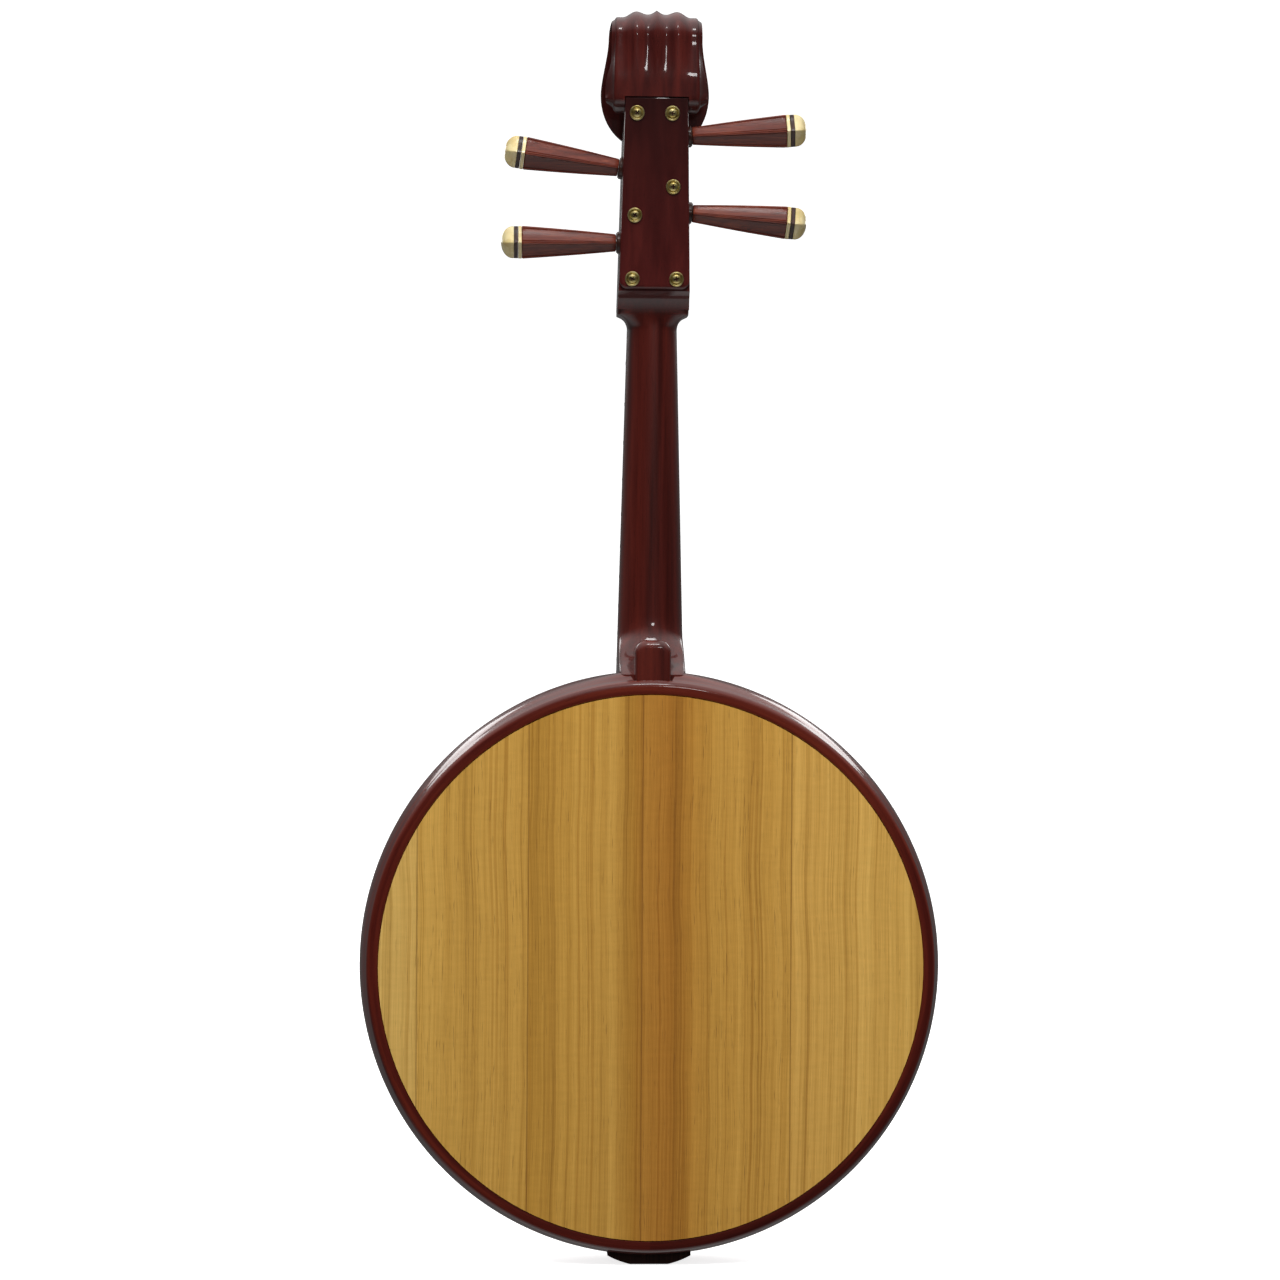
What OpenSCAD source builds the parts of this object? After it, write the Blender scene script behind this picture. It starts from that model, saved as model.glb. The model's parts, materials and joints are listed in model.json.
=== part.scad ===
// Four-stringed round-bodied lute with a long fretted neck, a geared pegbox and a rolled head.
// Millimetres. +Z runs up the neck, +Y points to the back of the instrument and -Y to its strings.
// The origin is the centre of the tail foot's flat underside.

/* [Body] */
// Outer radius of the barrel-shaped rim at mid depth
body_r = 210; // [190:1:225]
// Height of the body's centre above the foot's underside
body_z = 214.5; // [200:0.5:235]
// Depth of the body from soundboard face to back face
body_depth = 62; // [50:1:80]
// Radius of the arc that bulges the rim's outer wall
rim_arc_r = 68; // [55:1:120]
// Radial thickness of the rim's wall
rim_wall = 12.8; // [9:0.1:15]
// Rounding of the rim's two outer edges
rim_edge_r = 2; // [0.5:0.1:3]
// Radius of the back board and the soundboard
board_r = 195.5; // [185:0.5:198]
// Thickness of the back board and the soundboard
board_t = 4; // [3:0.1:5]
// Radius of each round sound hole
hole_r = 21; // [15:0.5:26]
// Sideways distance from the centre line to a sound hole
hole_x = 92; // [70:1:110]
// Height of the sound holes above the body's centre
hole_rise = 38; // [20:1:60]

/* [Neck and fingerboard] */
// Height of the nut's lower edge
nut_z = 690; // [660:1:720]
// Width of the neck just below the pegbox
neck_w_top = 35.8; // [32:0.1:40]
// Width of the neck where it meets the rim
neck_w_bottom = 49; // [44:0.1:54]
// Depth of the neck behind the fingerboard
neck_depth = 23; // [20:0.5:28]
// Width of the heel block
heel_w = 26.4; // [20:0.1:34]
// Height of the heel's rounded top
heel_top = 449.5; // [440:0.5:470]
// Thickness of the fingerboard
board_lift = 5; // [4:0.1:7]
// Height of the fingerboard's lower end over the soundboard
fingerboard_end = 252; // [245:1:300]
// Number of frets
fret_count = 24; // [19:1:24]
// Crown height of a fret above the fingerboard
fret_h = 1.1; // [0.8:0.1:1.4]

/* [Bridge and strings] */
// Height of the saddle, which sets the string length
saddle_z = 116; // [100:1:140]
// Length of the bridge across the soundboard
bridge_l = 96; // [80:1:120]
// Thickness of the bridge's wood off the soundboard
bridge_h = 8; // [6:0.5:11]
// Radii of the four strings, thickest first
string_r = [0.62, 0.5, 0.38, 0.3]; // [0.2:0.02:0.8]
// Distance between neighbouring strings at the nut
string_gap_nut = 8.4; // [7:0.1:9]
// Distance between neighbouring strings at the saddle
string_gap_saddle = 13; // [10:0.1:16]

/* [Pegbox] */
// Backward lean of the pegbox and head
head_tilt = 8; // [4:0.5:12]
// Depth of the pegbox without its cover
box_depth = 35; // [33:0.5:38]
// Half width of the pegbox at the nut
box_hw_low = 26.2; // [25:0.1:28]
// Half width of the pegbox at its top
box_hw_top = 22.9; // [22:0.1:25]
// Length of the pegbox from nut to top
box_top = 156; // [150:1:165]
// Thickness of the cover plate
cover_t = 3; // [2.5:0.1:4]
// Start of the cover plate above the nut
cover_low = 18.5; // [16:0.5:20]
// Radius of a cover screw's cup washer
washer_r = 5.4; // [4.5:0.1:6]
// Radius of a cover screw's head
screw_head_r = 3.2; // [2.6:0.1:3.6]

/* [Tuning pegs] */
// Depth of the peg axes behind the pegbox's front face
peg_depth = 26; // [25:0.5:27]
// Height of each peg's axis at the wall, above the nut
peg_u = [51.3, 73.2, 104.8, 128.2]; // [45:0.1:135]
// Side of each peg, 1 or -1
peg_side = [1, -1, 1, -1]; // [-1:2:1]
// Upward slope of each peg towards its tip, in degrees
peg_rise = [-0.3, -4.9, 8, 3.7]; // [-8:0.1:8]
// Length of a handle's wood
handle_l = 68; // [60:1:75]
// Width across the flats at the handle's inner end
handle_w_in = 12.7; // [11:0.1:15]
// Width across the flats at the handle's outer end
handle_w_out = 23.6; // [20:0.1:26]
// Radius of the collar round each peg
collar_r = 8; // [6.5:0.1:9]

/* [Tuning gears] */
// Axial pitch of the worm's thread
worm_pitch = 2.8; // [2.4:0.1:3]
// Teeth on a wheel
wheel_teeth = 14; // [12:1:14]
// Distance from a worm's axis to its wheel's axis
gear_centres = 9.3; // [9.3:0.05:9.4]
// Radius of a string post's barrel
post_r = 2.8; // [2.6:0.1:3]
// Radial running clearance of every journal
running = 0.05; // [0.03:0.01:0.08]

/* [Head scroll] */
// Half width of the teardrop front plate
plate_hw = 39.4; // [36:0.1:42]
// Thickness of the front plate and of the ribbon that rolls back from it
plate_t = 9; // [7:0.5:10]
// Outer radius of the roll that closes the head
roll_r = 19.3; // [19:0.1:21]

/* [View] */
// Sub-component to build, or all of them

/* [Hidden] */
$fn = 72;
// how far a cutter runs past the face it opens
e = 0.5;
half = body_depth / 2;
front_y = -half;
body_top = body_z + body_r;
arc_c = body_r - rim_arc_r;
ledge_r = arc_c + sqrt(pow(rim_arc_r - rim_wall, 2) - pow(half - board_t, 2));
face_r = arc_c + sqrt(pow(rim_arc_r, 2) - half * half);
pegs = [0:3];
strings = [0:3];
nut_l = 5;
nut_groove = 0.05;
nut_edge = nut_z - nut_l;
scale_l = nut_edge - saddle_z;
// clearance of the open strings over the first fret, and their height over the bridge
nut_y = front_y - board_lift - fret_h - 1.4;
saddle_y = front_y - bridge_h - 4;
bridge_w = 15;
saddle_w = 3;
bridge_low = saddle_z + saddle_w - bridge_w;
string_knot_r = 1.3;
string_fit = 0.05;
winding_y = 8.5;
handle_gap = 0.3;
collar_t = 2.5;
shaft_r = 2.5;
tip_r = 2;
worm_core_r = 2.2;
worm_out_r = 3.9;
worm_half = 5.5;
wheel_half = 1.75;
tooth_tip_w = 1.1;
tooth_root_w = 1.4;
wheel_out_r = worm_pitch * wheel_teeth / (2 * PI) + 0.66;
wheel_root_r = wheel_out_r - 1.8;
post_set_in = [15, 15, 17.5, 17.5];
ring_bone = 2.7;
ring_black = 3.1;
cap_l = 9.5;
trough_d = 14;
web_t = 3;
plate_brass = 1.5;
plate_gap = 0.4;
scoop_r = 26;
scoop_z = 679;
neck_tenon = 14;
box_wall = 6;
trough_low = 9;
trough_top = 137;
cavity_low = 31;
cavity_top = 138;
// across the plate and up it: the six cover screws
cover_screw_at = [[16.1, 25.9], [-15.8, 25.9], [14.8, 71.5], [-12.6, 92], [14, 144.3], [-11.4, 144.3]];
plate_screw_at = [[15, 34.5], [-14, 45], [13.5, 122], [-13.5, 102]];
loop_u = 197;
roll_low_u = 157;
flute_run_out = 11;
inner_roll_r = roll_r - plate_t;
plate_hw_high = 34;
crown_hw = 29.7;
curl_r = 13;
flute_valley_x = 6.5;
flute_lobe_x = 14.6;
flute_edge_x = 24.5;

function box_hw(u) = box_hw_low + (box_hw_top - box_hw_low) * u / box_top;
function neck_hw(z) =
    (neck_w_bottom + (neck_w_top - neck_w_bottom) * (z - body_top) / (nut_z - body_top)) / 2;
function fret_z(n) = nut_edge - scale_l * (1 - pow(2, -n / 12));
function string_x(i, gap) = (1.5 - i) * gap;
// strings run to the posts so that the outer pair takes the two lower posts
function string_peg(i) = [0, 2, 3, 1][i];
function post_x(i) =
    peg_side[i] * (box_hw(peg_u[i]) - post_set_in[i] * cos(peg_rise[i]) + gear_centres * sin(peg_rise[i]));
function post_u(i) = peg_u[i] - post_set_in[i] * sin(peg_rise[i]) - gear_centres * cos(peg_rise[i]);
function flute(x) =
    let (a = abs(x))
    a <= flute_valley_x ? 2.9 * sin(90 * a / flute_valley_x) :
    a <= flute_lobe_x ?
        2.9 - 2.1 * (1 - cos(180 * (a - flute_valley_x) / (flute_lobe_x - flute_valley_x))) / 2 :
    a <= flute_edge_x ? 0.8 + 4.2 * (1 - cos(180 * (a - flute_lobe_x) / (flute_edge_x - flute_lobe_x))) / 2 :
    5;

lacquer = [0.27, 0.08, 0.065];
dark_lacquer = [0.19, 0.055, 0.055];
paulownia = [0.75, 0.6, 0.31];
pine = [0.8, 0.68, 0.45];
peg_wood = [0.4, 0.17, 0.12];
bone = [0.93, 0.87, 0.68];
ebony = [0.05, 0.045, 0.045];
old_brass = [0.68, 0.58, 0.3];
steel = [0.7, 0.7, 0.7];
bronze = [0.62, 0.42, 0.26];

// ---- placing helpers -------------------------------------------------------------------------

// turns a shape drawn about Z so that its axis is the body's front-to-back axis
module body_axis() {
    translate([0, 0, body_z])
        rotate([-90, 0, 0])
            children();
}

// the pegbox's own frame: X across, Y to the back, Z up the head from the nut
module head_frame() {
    translate([0, front_y, nut_z])
        rotate([-head_tilt, 0, 0])
            children();
}

// a peg's own frame: +Z outwards along the peg from the pegbox wall, +Y to the back
module peg_frame(i) {
    head_frame()
        translate([peg_side[i] * box_hw(peg_u[i]), peg_depth, peg_u[i]])
            rotate([0, peg_side[i] * (90 - peg_rise[i]), 0])
                children();
}

// a post's own frame: +Z to the front along the post from the worm's mid plane
module post_frame(i) {
    head_frame()
        translate([post_x(i), peg_depth, post_u(i)])
            rotate([90, 0, 0])
                children();
}

module rod(a, b, r) {
    d = b - a;
    l = norm(d);
    translate(a)
        rotate([0, acos(d.z / l), atan2(d.y, d.x)])
            cylinder(h = l, r = r, $fn = 24);
}

// ---- body ------------------------------------------------------------------------------------

module barrel_section(wall) {
    translate([arc_c, 0])
        circle(r = wall, $fn = 180);
}

// everything inside the rim's outer wall, as one solid
module rim_outer() {
    body_axis()
        rotate_extrude($fn = 180)
            intersection() {
                barrel_section(rim_arc_r);
                translate([0, -half])
                    square([body_r + 1, body_depth]);
            }
}

module rim() {
    color(lacquer)
        body_axis()
            rotate_extrude($fn = 180)
                difference() {
                    intersection() {
                        barrel_section(rim_arc_r);
                        union() {
                            translate([ledge_r, -half + rim_edge_r])
                                square([body_r, body_depth - 2 * rim_edge_r]);
                            translate([board_r, -half])
                                square([face_r - rim_edge_r - board_r, body_depth]);
                            for (y = [-1, 1])
                                translate([face_r - rim_edge_r, y * (half - rim_edge_r)])
                                    circle(r = rim_edge_r, $fn = 32);
                        }
                    }
                    intersection() {
                        barrel_section(rim_arc_r - rim_wall);
                        translate([0, -half + board_t])
                            square([body_r, body_depth - 2 * board_t]);
                    }
                    for (y = [-half - e, half - board_t])
                        translate([0, y])
                            square([board_r, board_t + e]);
                }
}

module board_disc(y) {
    translate([0, y, 0])
        body_axis()
            cylinder(h = board_t, r = board_r, $fn = 180);
}

module back_board() {
    color(paulownia)
        board_disc(half - board_t);
}

module sound_hole_places() {
    for (s = [-1, 1])
        translate([s * hole_x, front_y, body_z + hole_rise])
            rotate([-90, 0, 0])
                children();
}

module soundboard() {
    color(paulownia)
        difference() {
            board_disc(front_y);
            sound_hole_places()
                translate([0, 0, -e])
                    cylinder(h = board_t + 2 * e, r = hole_r);
            sound_hole_places()
                translate([0, 0, -e])
                    cylinder(h = e + 1.2, r = hole_r + 5);
        }
}

module sound_hole_rings() {
    color(dark_lacquer)
        sound_hole_places()
            rotate_extrude()
                difference() {
                    translate([hole_r, -0.6])
                        square([5, 1.8]);
                    translate([hole_r + 5, -1.4])
                        circle(r = 1.2, $fn = 24);
                    translate([hole_r, -1.4])
                        circle(r = 1.2, $fn = 24);
                }
}

// a bar across the inside of a board, shaped by the rim's inner wall
module brace(y_low, y_high, z, w) {
    intersection() {
        translate([-body_r, y_low, z - w / 2])
            cube([2 * body_r, y_high - y_low, w]);
        body_axis()
            translate([0, 0, -half])
                cylinder(h = body_depth, r = ledge_r - 0.4, $fn = 180);
    }
}

module back_braces() {
    color(pine)
        for (z = [-110, -15, 85])
            brace(half - board_t - 9, half - board_t, body_z + z, 7);
}

module soundboard_braces() {
    color(pine)
        for (z = [-140, -55, 0, 82])
            brace(front_y + board_t, front_y + board_t + 10, body_z + z, 7);
}

// a block glued to the rim's inside, from one height to another
module end_block(w, low, high) {
    color(pine)
        intersection() {
            translate([-w / 2, front_y + board_t, low])
                cube([w, body_depth - 2 * board_t, high - low]);
            body_axis()
                rotate_extrude($fn = 180)
                    intersection() {
                        barrel_section(rim_arc_r - rim_wall);
                        translate([0, -half + board_t])
                            square([body_r, body_depth - 2 * board_t]);
                    }
        }
}

module neck_block() {
    end_block(70, body_z + ledge_r - 32, body_top);
}

module tail_block() {
    end_block(54, body_z - body_r, body_z - ledge_r + 22);
}

// a boat-shaped foot under the rim, cut off flat where it stands
module tail_foot() {
    foot_hw = 30;
    foot_d = 36;
    keel_r = 62;
    keel_z = 60.5;
    color(ebony)
        difference() {
            translate([0, foot_d / 2, 0])
                rotate([90, 0, 0])
                    linear_extrude(height = foot_d)
                        intersection() {
                            translate([0, keel_z])
                                circle(r = keel_r, $fn = 240);
                            translate([-foot_hw, 0])
                                square([2 * foot_hw, 10]);
                        }
            rim_outer();
        }
}

// ---- neck ------------------------------------------------------------------------------------

// the neck's section: flat under the fingerboard, round behind
module neck_section(hw, depth) {
    round_r = 11;
    intersection() {
        translate([-hw, 0])
            square([2 * hw, depth]);
        union() {
            translate([-hw, 0])
                square([2 * hw, depth - round_r]);
            translate([0, depth - hw * 1.32])
                circle(r = hw * 1.32, $fn = 96);
        }
    }
}

module neck() {
    low = body_top - neck_tenon;
    shoulder_z = 677;
    // the round back stands this much deeper at the body than at the nut
    taper_depth = 5;
    color(lacquer)
        difference() {
            union() {
                translate([0, front_y, low])
                    linear_extrude(height = nut_z - low, scale = neck_w_top / (2 * neck_hw(low)))
                        neck_section(neck_hw(low), neck_depth + taper_depth);
                neck_cove(low);
                heel();
                shoulders(shoulder_z);
            }
            rim_outer();
            above_nut();
            translate([0, front_y - 20, 0])
                cube([200, 40, 1500], center = true);
        }
}

// the foot of the neck's back, which sweeps back to the heel in a hollow quarter round
module neck_cove(low) {
    cove_r = 17;
    cove_y = front_y + neck_depth + cove_r + 1.5;
    cove_z = body_top + cove_r + 3;
    inset = 0.6;
    difference() {
        translate([-neck_hw(low) + inset, front_y, low])
            cube([2 * (neck_hw(low) - inset), neck_depth + cove_r, cove_z + 1 - low]);
        translate([0, cove_y, cove_z])
            rotate([0, 90, 0])
                cylinder(h = 80, r = cove_r, center = true);
        translate([0, cove_y, cove_z + cove_r])
            cube([80, 2 * cove_r, 2 * cove_r], center = true);
    }
}

// the rounded block behind the neck's foot
module heel() {
    corner = 9;
    low = body_top - neck_tenon;
    // the heel's back stands in from the back board, its front from the soundboard
    set_in_back = 3.5;
    set_in_front = 4.5;
    translate([0, half - set_in_back, 0])
        rotate([90, 0, 0])
            linear_extrude(height = body_depth - set_in_back - set_in_front)
                union() {
                    translate([-heel_w / 2, low])
                        square([heel_w, heel_top - corner - low]);
                    translate([-heel_w / 2 + corner, low])
                        square([heel_w - 2 * corner, heel_top - low]);
                    for (s = [-1, 1])
                        translate([s * (heel_w / 2 - corner), heel_top - corner])
                            circle(r = corner);
                }
}

// concave shoulders that widen the neck to the pegbox
module shoulders(z) {
    r = 10;
    hw = box_hw_low;
    intersection() {
        translate([0, front_y + neck_depth + 4, 0])
            rotate([90, 0, 0])
                linear_extrude(height = neck_depth + 4)
                    difference() {
                        translate([-hw, z - 2])
                            square([2 * hw, nut_z - z + 4]);
                        for (s = [-1, 1])
                            translate([s * (neck_hw(z) + r), z - 1])
                                circle(r = r);
                        for (s = [-1, 1])
                            translate([s * (neck_hw(z) + 20), z - 6])
                                square([40, 10], center = true);
                    }
        pegbox_scoop();
    }
}

// everything above the level where the neck meets the pegbox
module above_nut() {
    translate([-100, -100, nut_z])
        cube([200, 300, 400]);
}

// the side view of the pegbox's lower back, hollowed between the neck and the cover
module pegbox_scoop() {
    difference() {
        translate([-60, front_y, 600])
            cube([120, 60, 200]);
        scoop_cut();
        translate([-65, front_y + neck_depth, 560])
            cube([130, 80, scoop_z - 560]);
    }
}

// the round hollow that rises from the neck's back to the cover's lower edge
module scoop_cut() {
    translate([0, front_y + neck_depth + scoop_r, scoop_z])
        rotate([0, 90, 0])
            cylinder(h = 130, r = scoop_r, center = true, $fn = 120);
}

module fingerboard_outline(grow) {
    low = fingerboard_end;
    polygon([
        [-neck_hw(low) - grow, low], [neck_hw(low) + grow, low],
        [neck_hw(nut_z) + grow, nut_z - nut_l], [-neck_hw(nut_z) - grow, nut_z - nut_l]
    ]);
}

module fingerboard() {
    color(ebony)
        translate([0, front_y, 0])
            rotate([90, 0, 0])
                difference() {
                    linear_extrude(height = board_lift)
                        fingerboard_outline(0);
                    for (n = [1:fret_count])
                        translate([-40, fret_z(n) - 0.3, board_lift - 1.2])
                            cube([80, 0.6, 2]);
                }
}

module frets() {
    crown_r = 1.3;
    color(old_brass)
        for (n = [1:fret_count])
            translate([0, front_y - board_lift, fret_z(n)])
                intersection() {
                    union() {
                        translate([0, crown_r - fret_h, 0])
                            rotate([0, 90, 0])
                                cylinder(h = 80, r = crown_r, center = true, $fn = 32);
                        translate([-40, 0, -0.3])
                            cube([80, 1.2, 0.6]);
                    }
                    translate([-neck_hw(fret_z(n)), -fret_h - e, -3])
                        cube([2 * neck_hw(fret_z(n)), fret_h + e + 1.2, 6]);
                    union() {
                        translate([-40, -fret_h - e, -3])
                            cube([80, fret_h + e, 6]);
                        translate([-40, -e, -0.3])
                            cube([80, 1.2 + e, 0.6]);
                    }
                }
}

module nut() {
    nut_h = front_y - nut_y;
    color(bone)
        difference() {
            translate([-neck_w_top / 2, nut_y - 0.6, nut_z - nut_l])
                cube([neck_w_top, nut_h + 0.6, nut_l]);
            translate([0, nut_y - 0.6, nut_z + 3])
                rotate([0, 90, 0])
                    cylinder(h = 80, r = 4, center = true);
            for (i = strings)
                translate([string_x(i, string_gap_nut), nut_y, nut_z - nut_l - e])
                    cylinder(h = nut_l + 2 * e, r = string_r[i] + nut_groove, $fn = 24);
            for (i = strings)
                translate([
                    string_x(i, string_gap_nut) - string_r[i] - nut_groove,
                    nut_y - 2,
                    nut_z - nut_l - e
                ])
                    cube([2 * (string_r[i] + nut_groove), 2, nut_l + 2 * e]);
        }
}

// ---- bridge and strings ----------------------------------------------------------------------

module bridge() {
    end_r = bridge_w / 2;
    wing_r = 14;
    slot_in = 14;
    slot_d = 3.5;
    color(peg_wood)
        difference() {
            translate([0, front_y, bridge_low + end_r])
                rotate([90, 0, 0])
                    linear_extrude(height = bridge_h)
                        union() {
                            square([bridge_l - bridge_w, bridge_w], center = true);
                            for (s = [-1, 1])
                                translate([s * (bridge_l - bridge_w) / 2, 0])
                                    circle(r = end_r);
                        }
            translate([-bridge_l / 2 + slot_in, front_y - bridge_h - e, saddle_z - saddle_w / 2])
                cube([bridge_l - 2 * slot_in, slot_d + e, saddle_w]);
            // the wings at both ends are thinned
            for (s = [-1, 1])
                translate([s * (bridge_l / 2 + 2), front_y - bridge_h - 6.5, saddle_z])
                    cylinder(h = 60, r = wing_r, center = true);
            for (i = strings)
                string_tail(i, string_fit);
        }
}

module saddle() {
    slot_in = 14;
    slot_d = 3.5;
    crown = saddle_y + 0.3;
    color(bone)
        difference() {
            translate([-bridge_l / 2 + slot_in, crown, saddle_z - saddle_w / 2])
                cube([bridge_l - 2 * slot_in, front_y - bridge_h + slot_d - crown, saddle_w]);
            for (i = strings)
                string_tail(i, string_fit);
        }
}

// head-frame point to whole-part point
function from_head(p) = [
    p.x,
    front_y + p.y * cos(head_tilt) + p.z * sin(head_tilt),
    nut_z - p.y * sin(head_tilt) + p.z * cos(head_tilt)
];
// where a string leaves its post: beside the barrel, one string width in front of the winding
function string_end(i) =
    let (k = string_peg(i), out = post_r + string_r[i] + 0.1, lean = [1, -1, 1, -1][i])
    from_head([post_x(k) + lean * out, winding_y - 1.05 * string_r[i] * 2, post_u(k)]);
function saddle_bend(i) = [string_x(i, string_gap_saddle), saddle_y, saddle_z];
function nut_bend(i) = [string_x(i, string_gap_nut), nut_y, nut_z - 0.6];
function string_tie(i) =
    [string_x(i, string_gap_saddle), front_y - bridge_h / 2, bridge_low - string_knot_r - string_fit];

module string_bend(p, r) {
    translate(p)
        sphere(r = r + 0.04, $fn = 32);
}

// a string's lower part, thickened by grow: through the bridge, over the saddle and up to the nut
module string_tail(i, grow) {
    r = string_r[i] + grow;
    rod(string_tie(i), saddle_bend(i), r);
    rod(saddle_bend(i), nut_bend(i), r);
    string_bend(saddle_bend(i), r);
}

module string(i) {
    color(i < 2 ? bronze : steel)
        union() {
            string_tail(i, 0);
            translate(string_tie(i))
                sphere(r = string_knot_r, $fn = 32);
            string_bend(nut_bend(i), string_r[i]);
            rod(nut_bend(i), string_end(i), string_r[i]);
        }
}

// ---- pegbox ----------------------------------------------------------------------------------

// the pegbox seen from behind, from the level low to the level high
module box_outline(low, high, grow) {
    polygon([
        [-box_hw(low) - grow, low], [box_hw(low) + grow, low],
        [box_hw(high) + grow, high], [-box_hw(high) - grow, high]
    ]);
}

// an outline drawn across X and up Z, given depth from one Y level to another
module depthwise(y_low, y_high) {
    translate([0, y_high, 0])
        rotate([90, 0, 0])
            linear_extrude(height = y_high - y_low)
                children();
}

module box_solid() {
    head_frame()
        depthwise(0, box_depth)
            box_outline(-12, box_top, 0);
}

// the block left standing in the gear cavity for a cover screw that misses the end blocks
module screw_boss(at, grow) {
    boss_hw = 4.2 + grow;
    boss_hh = 4.5 + grow;
    reach = box_hw(at[1]) - 2;
    inner = abs(at[0]) - boss_hw;
    depthwise(trough_d + web_t - grow, box_depth)
        translate([at[0] > 0 ? inner : -reach, at[1] - boss_hh])
            square([reach - inner, 2 * boss_hh]);
}

module pegbox() {
    color(dark_lacquer)
        difference() {
            intersection() {
                box_solid();
                above_nut();
            }
            scoop_cut();
            head_frame() {
                depthwise(-e, trough_d)
                    box_outline(trough_low, trough_top, -box_wall);
                difference() {
                    depthwise(trough_d + web_t, box_depth + e)
                        box_outline(cavity_low, cavity_top, -box_wall);
                    for (at = [cover_screw_at[2], cover_screw_at[3]])
                        screw_boss(at, 0);
                }
                for (at = cover_screw_at)
                    translate([at[0], box_depth - 11, at[1]])
                        rotate([-90, 0, 0])
                            cylinder(h = 11 + e, r = 1.5, $fn = 32);
                for (at = plate_screw_at)
                    translate([at[0], trough_d + 0.6, at[1]])
                        rotate([-90, 0, 0])
                            cylinder(h = web_t, r = 0.9, $fn = 24);
            }
            for (i = pegs)
                peg_frame(i)
                    translate([0, 0, -box_wall - 6])
                        cylinder(h = box_wall + 12, r = shaft_r + running);
            for (i = pegs)
                post_frame(i)
                    cylinder(h = peg_depth, r = shaft_r + running);
        }
}

module pegbox_cover() {
    corner = 5;
    hw = box_hw(cover_low);
    color(dark_lacquer)
        head_frame()
            difference() {
                depthwise(box_depth, box_depth + cover_t)
                    union() {
                        box_outline(cover_low + corner, box_top - 0.7, -0.3);
                        translate([-hw + 0.3 + corner, cover_low])
                            square([2 * (hw - corner) - 0.6, corner + e]);
                        for (s = [-1, 1])
                            translate([s * (hw - corner - 0.3), cover_low + corner])
                                circle(r = corner);
                    }
                for (at = cover_screw_at)
                    translate([at[0], box_depth - e, at[1]])
                        rotate([-90, 0, 0])
                            cylinder(h = cover_t + 2 * e, r = 1.5, $fn = 32);
            }
}

module cover_screw_places() {
    head_frame()
        for (at = cover_screw_at)
            translate([at[0], box_depth + cover_t, at[1]])
                rotate([-90, 0, 0])
                    children();
}

module cover_washers() {
    color(old_brass)
        cover_screw_places()
            rotate_extrude()
                difference() {
                    union() {
                        translate([1.5, 0])
                            square([washer_r - 2.3, 1.1]);
                        translate([washer_r - 0.8, 0])
                            intersection() {
                                circle(r = 0.8, $fn = 32);
                                translate([-1, 0])
                                    square([2, 2]);
                            }
                        translate([screw_head_r + 0.3, 0])
                            square([washer_r - screw_head_r - 1.1, 0.8]);
                    }
                    polygon([[1.5, 0.5], [screw_head_r, 1.2], [1.5, 1.2]]);
                }
}

module cover_screws() {
    color(old_brass)
        cover_screw_places()
            difference() {
                union() {
                    translate([0, 0, -13])
                        cylinder(h = 13.5, r = 1.5, $fn = 32);
                    translate([0, 0, 0.5])
                        cylinder(h = 0.7, r1 = 1.5, r2 = screw_head_r, $fn = 48);
                    translate([0, 0, 1.2])
                        intersection() {
                            cylinder(h = 2, r = screw_head_r, $fn = 48);
                            translate([0, 0, -6.2])
                                sphere(r = 7, $fn = 96);
                        }
                }
                for (a = [20, 110])
                    rotate([0, 0, a])
                        translate([-1.7, -0.4, 0.9])
                            cube([3.4, 0.8, 3]);
            }
}

module gear_plate() {
    ear_w = 8;
    ear_t = 3;
    base = trough_d + web_t;
    color(old_brass)
        difference() {
            union() {
                head_frame()
                    difference() {
                        depthwise(base, base + plate_brass)
                            box_outline(
                                cavity_low + plate_gap,
                                cavity_top - plate_gap,
                                -box_wall - plate_gap
                            );
                        for (at = [cover_screw_at[2], cover_screw_at[3]])
                            screw_boss(at, plate_gap);
                    }
                for (i = pegs)
                    peg_frame(i)
                        translate([
                            -ear_w / 2,
                            base + 0.2 - peg_depth,
                            -post_set_in[i] - worm_half - 0.7 - ear_t
                        ])
                            cube([ear_w, peg_depth - base + 3.8, ear_t]);
            }
            for (i = pegs)
                peg_frame(i)
                    translate([0, 0, -post_set_in[i] - worm_half - 8])
                        cylinder(h = 8, r = tip_r + running, $fn = 48);
            for (i = pegs)
                post_frame(i)
                    cylinder(h = peg_depth, r = shaft_r + running);
            head_frame()
                for (at = plate_screw_at)
                    translate([at[0], trough_d, at[1]])
                        rotate([-90, 0, 0])
                            cylinder(h = web_t + plate_brass + e, r = 0.9, $fn = 24);
        }
}

module gear_plate_screws() {
    color(old_brass)
        head_frame()
            for (at = plate_screw_at)
                translate([at[0], trough_d + 0.6, at[1]])
                    rotate([-90, 0, 0])
                        difference() {
                            union() {
                                cylinder(h = web_t + plate_brass, r = 0.9, $fn = 24);
                                translate([0, 0, web_t + plate_brass - 0.6])
                                    cylinder(h = 1, r = 1.9, $fn = 32);
                            }
                            translate([-2, -0.25, web_t + plate_brass])
                                cube([4, 0.5, 2]);
                        }
}

// ---- head ------------------------------------------------------------------------------------

// the ribbon's section: X out from the roll's axis, its outer edge fluted, Y across the head
module ribbon_section(inner) {
    hw = 36;
    step = 3;
    polygon(concat([for (x = [-hw:step:hw]) [roll_r - flute(x), x]], [[inner, hw], [inner, -hw]]));
}

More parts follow.
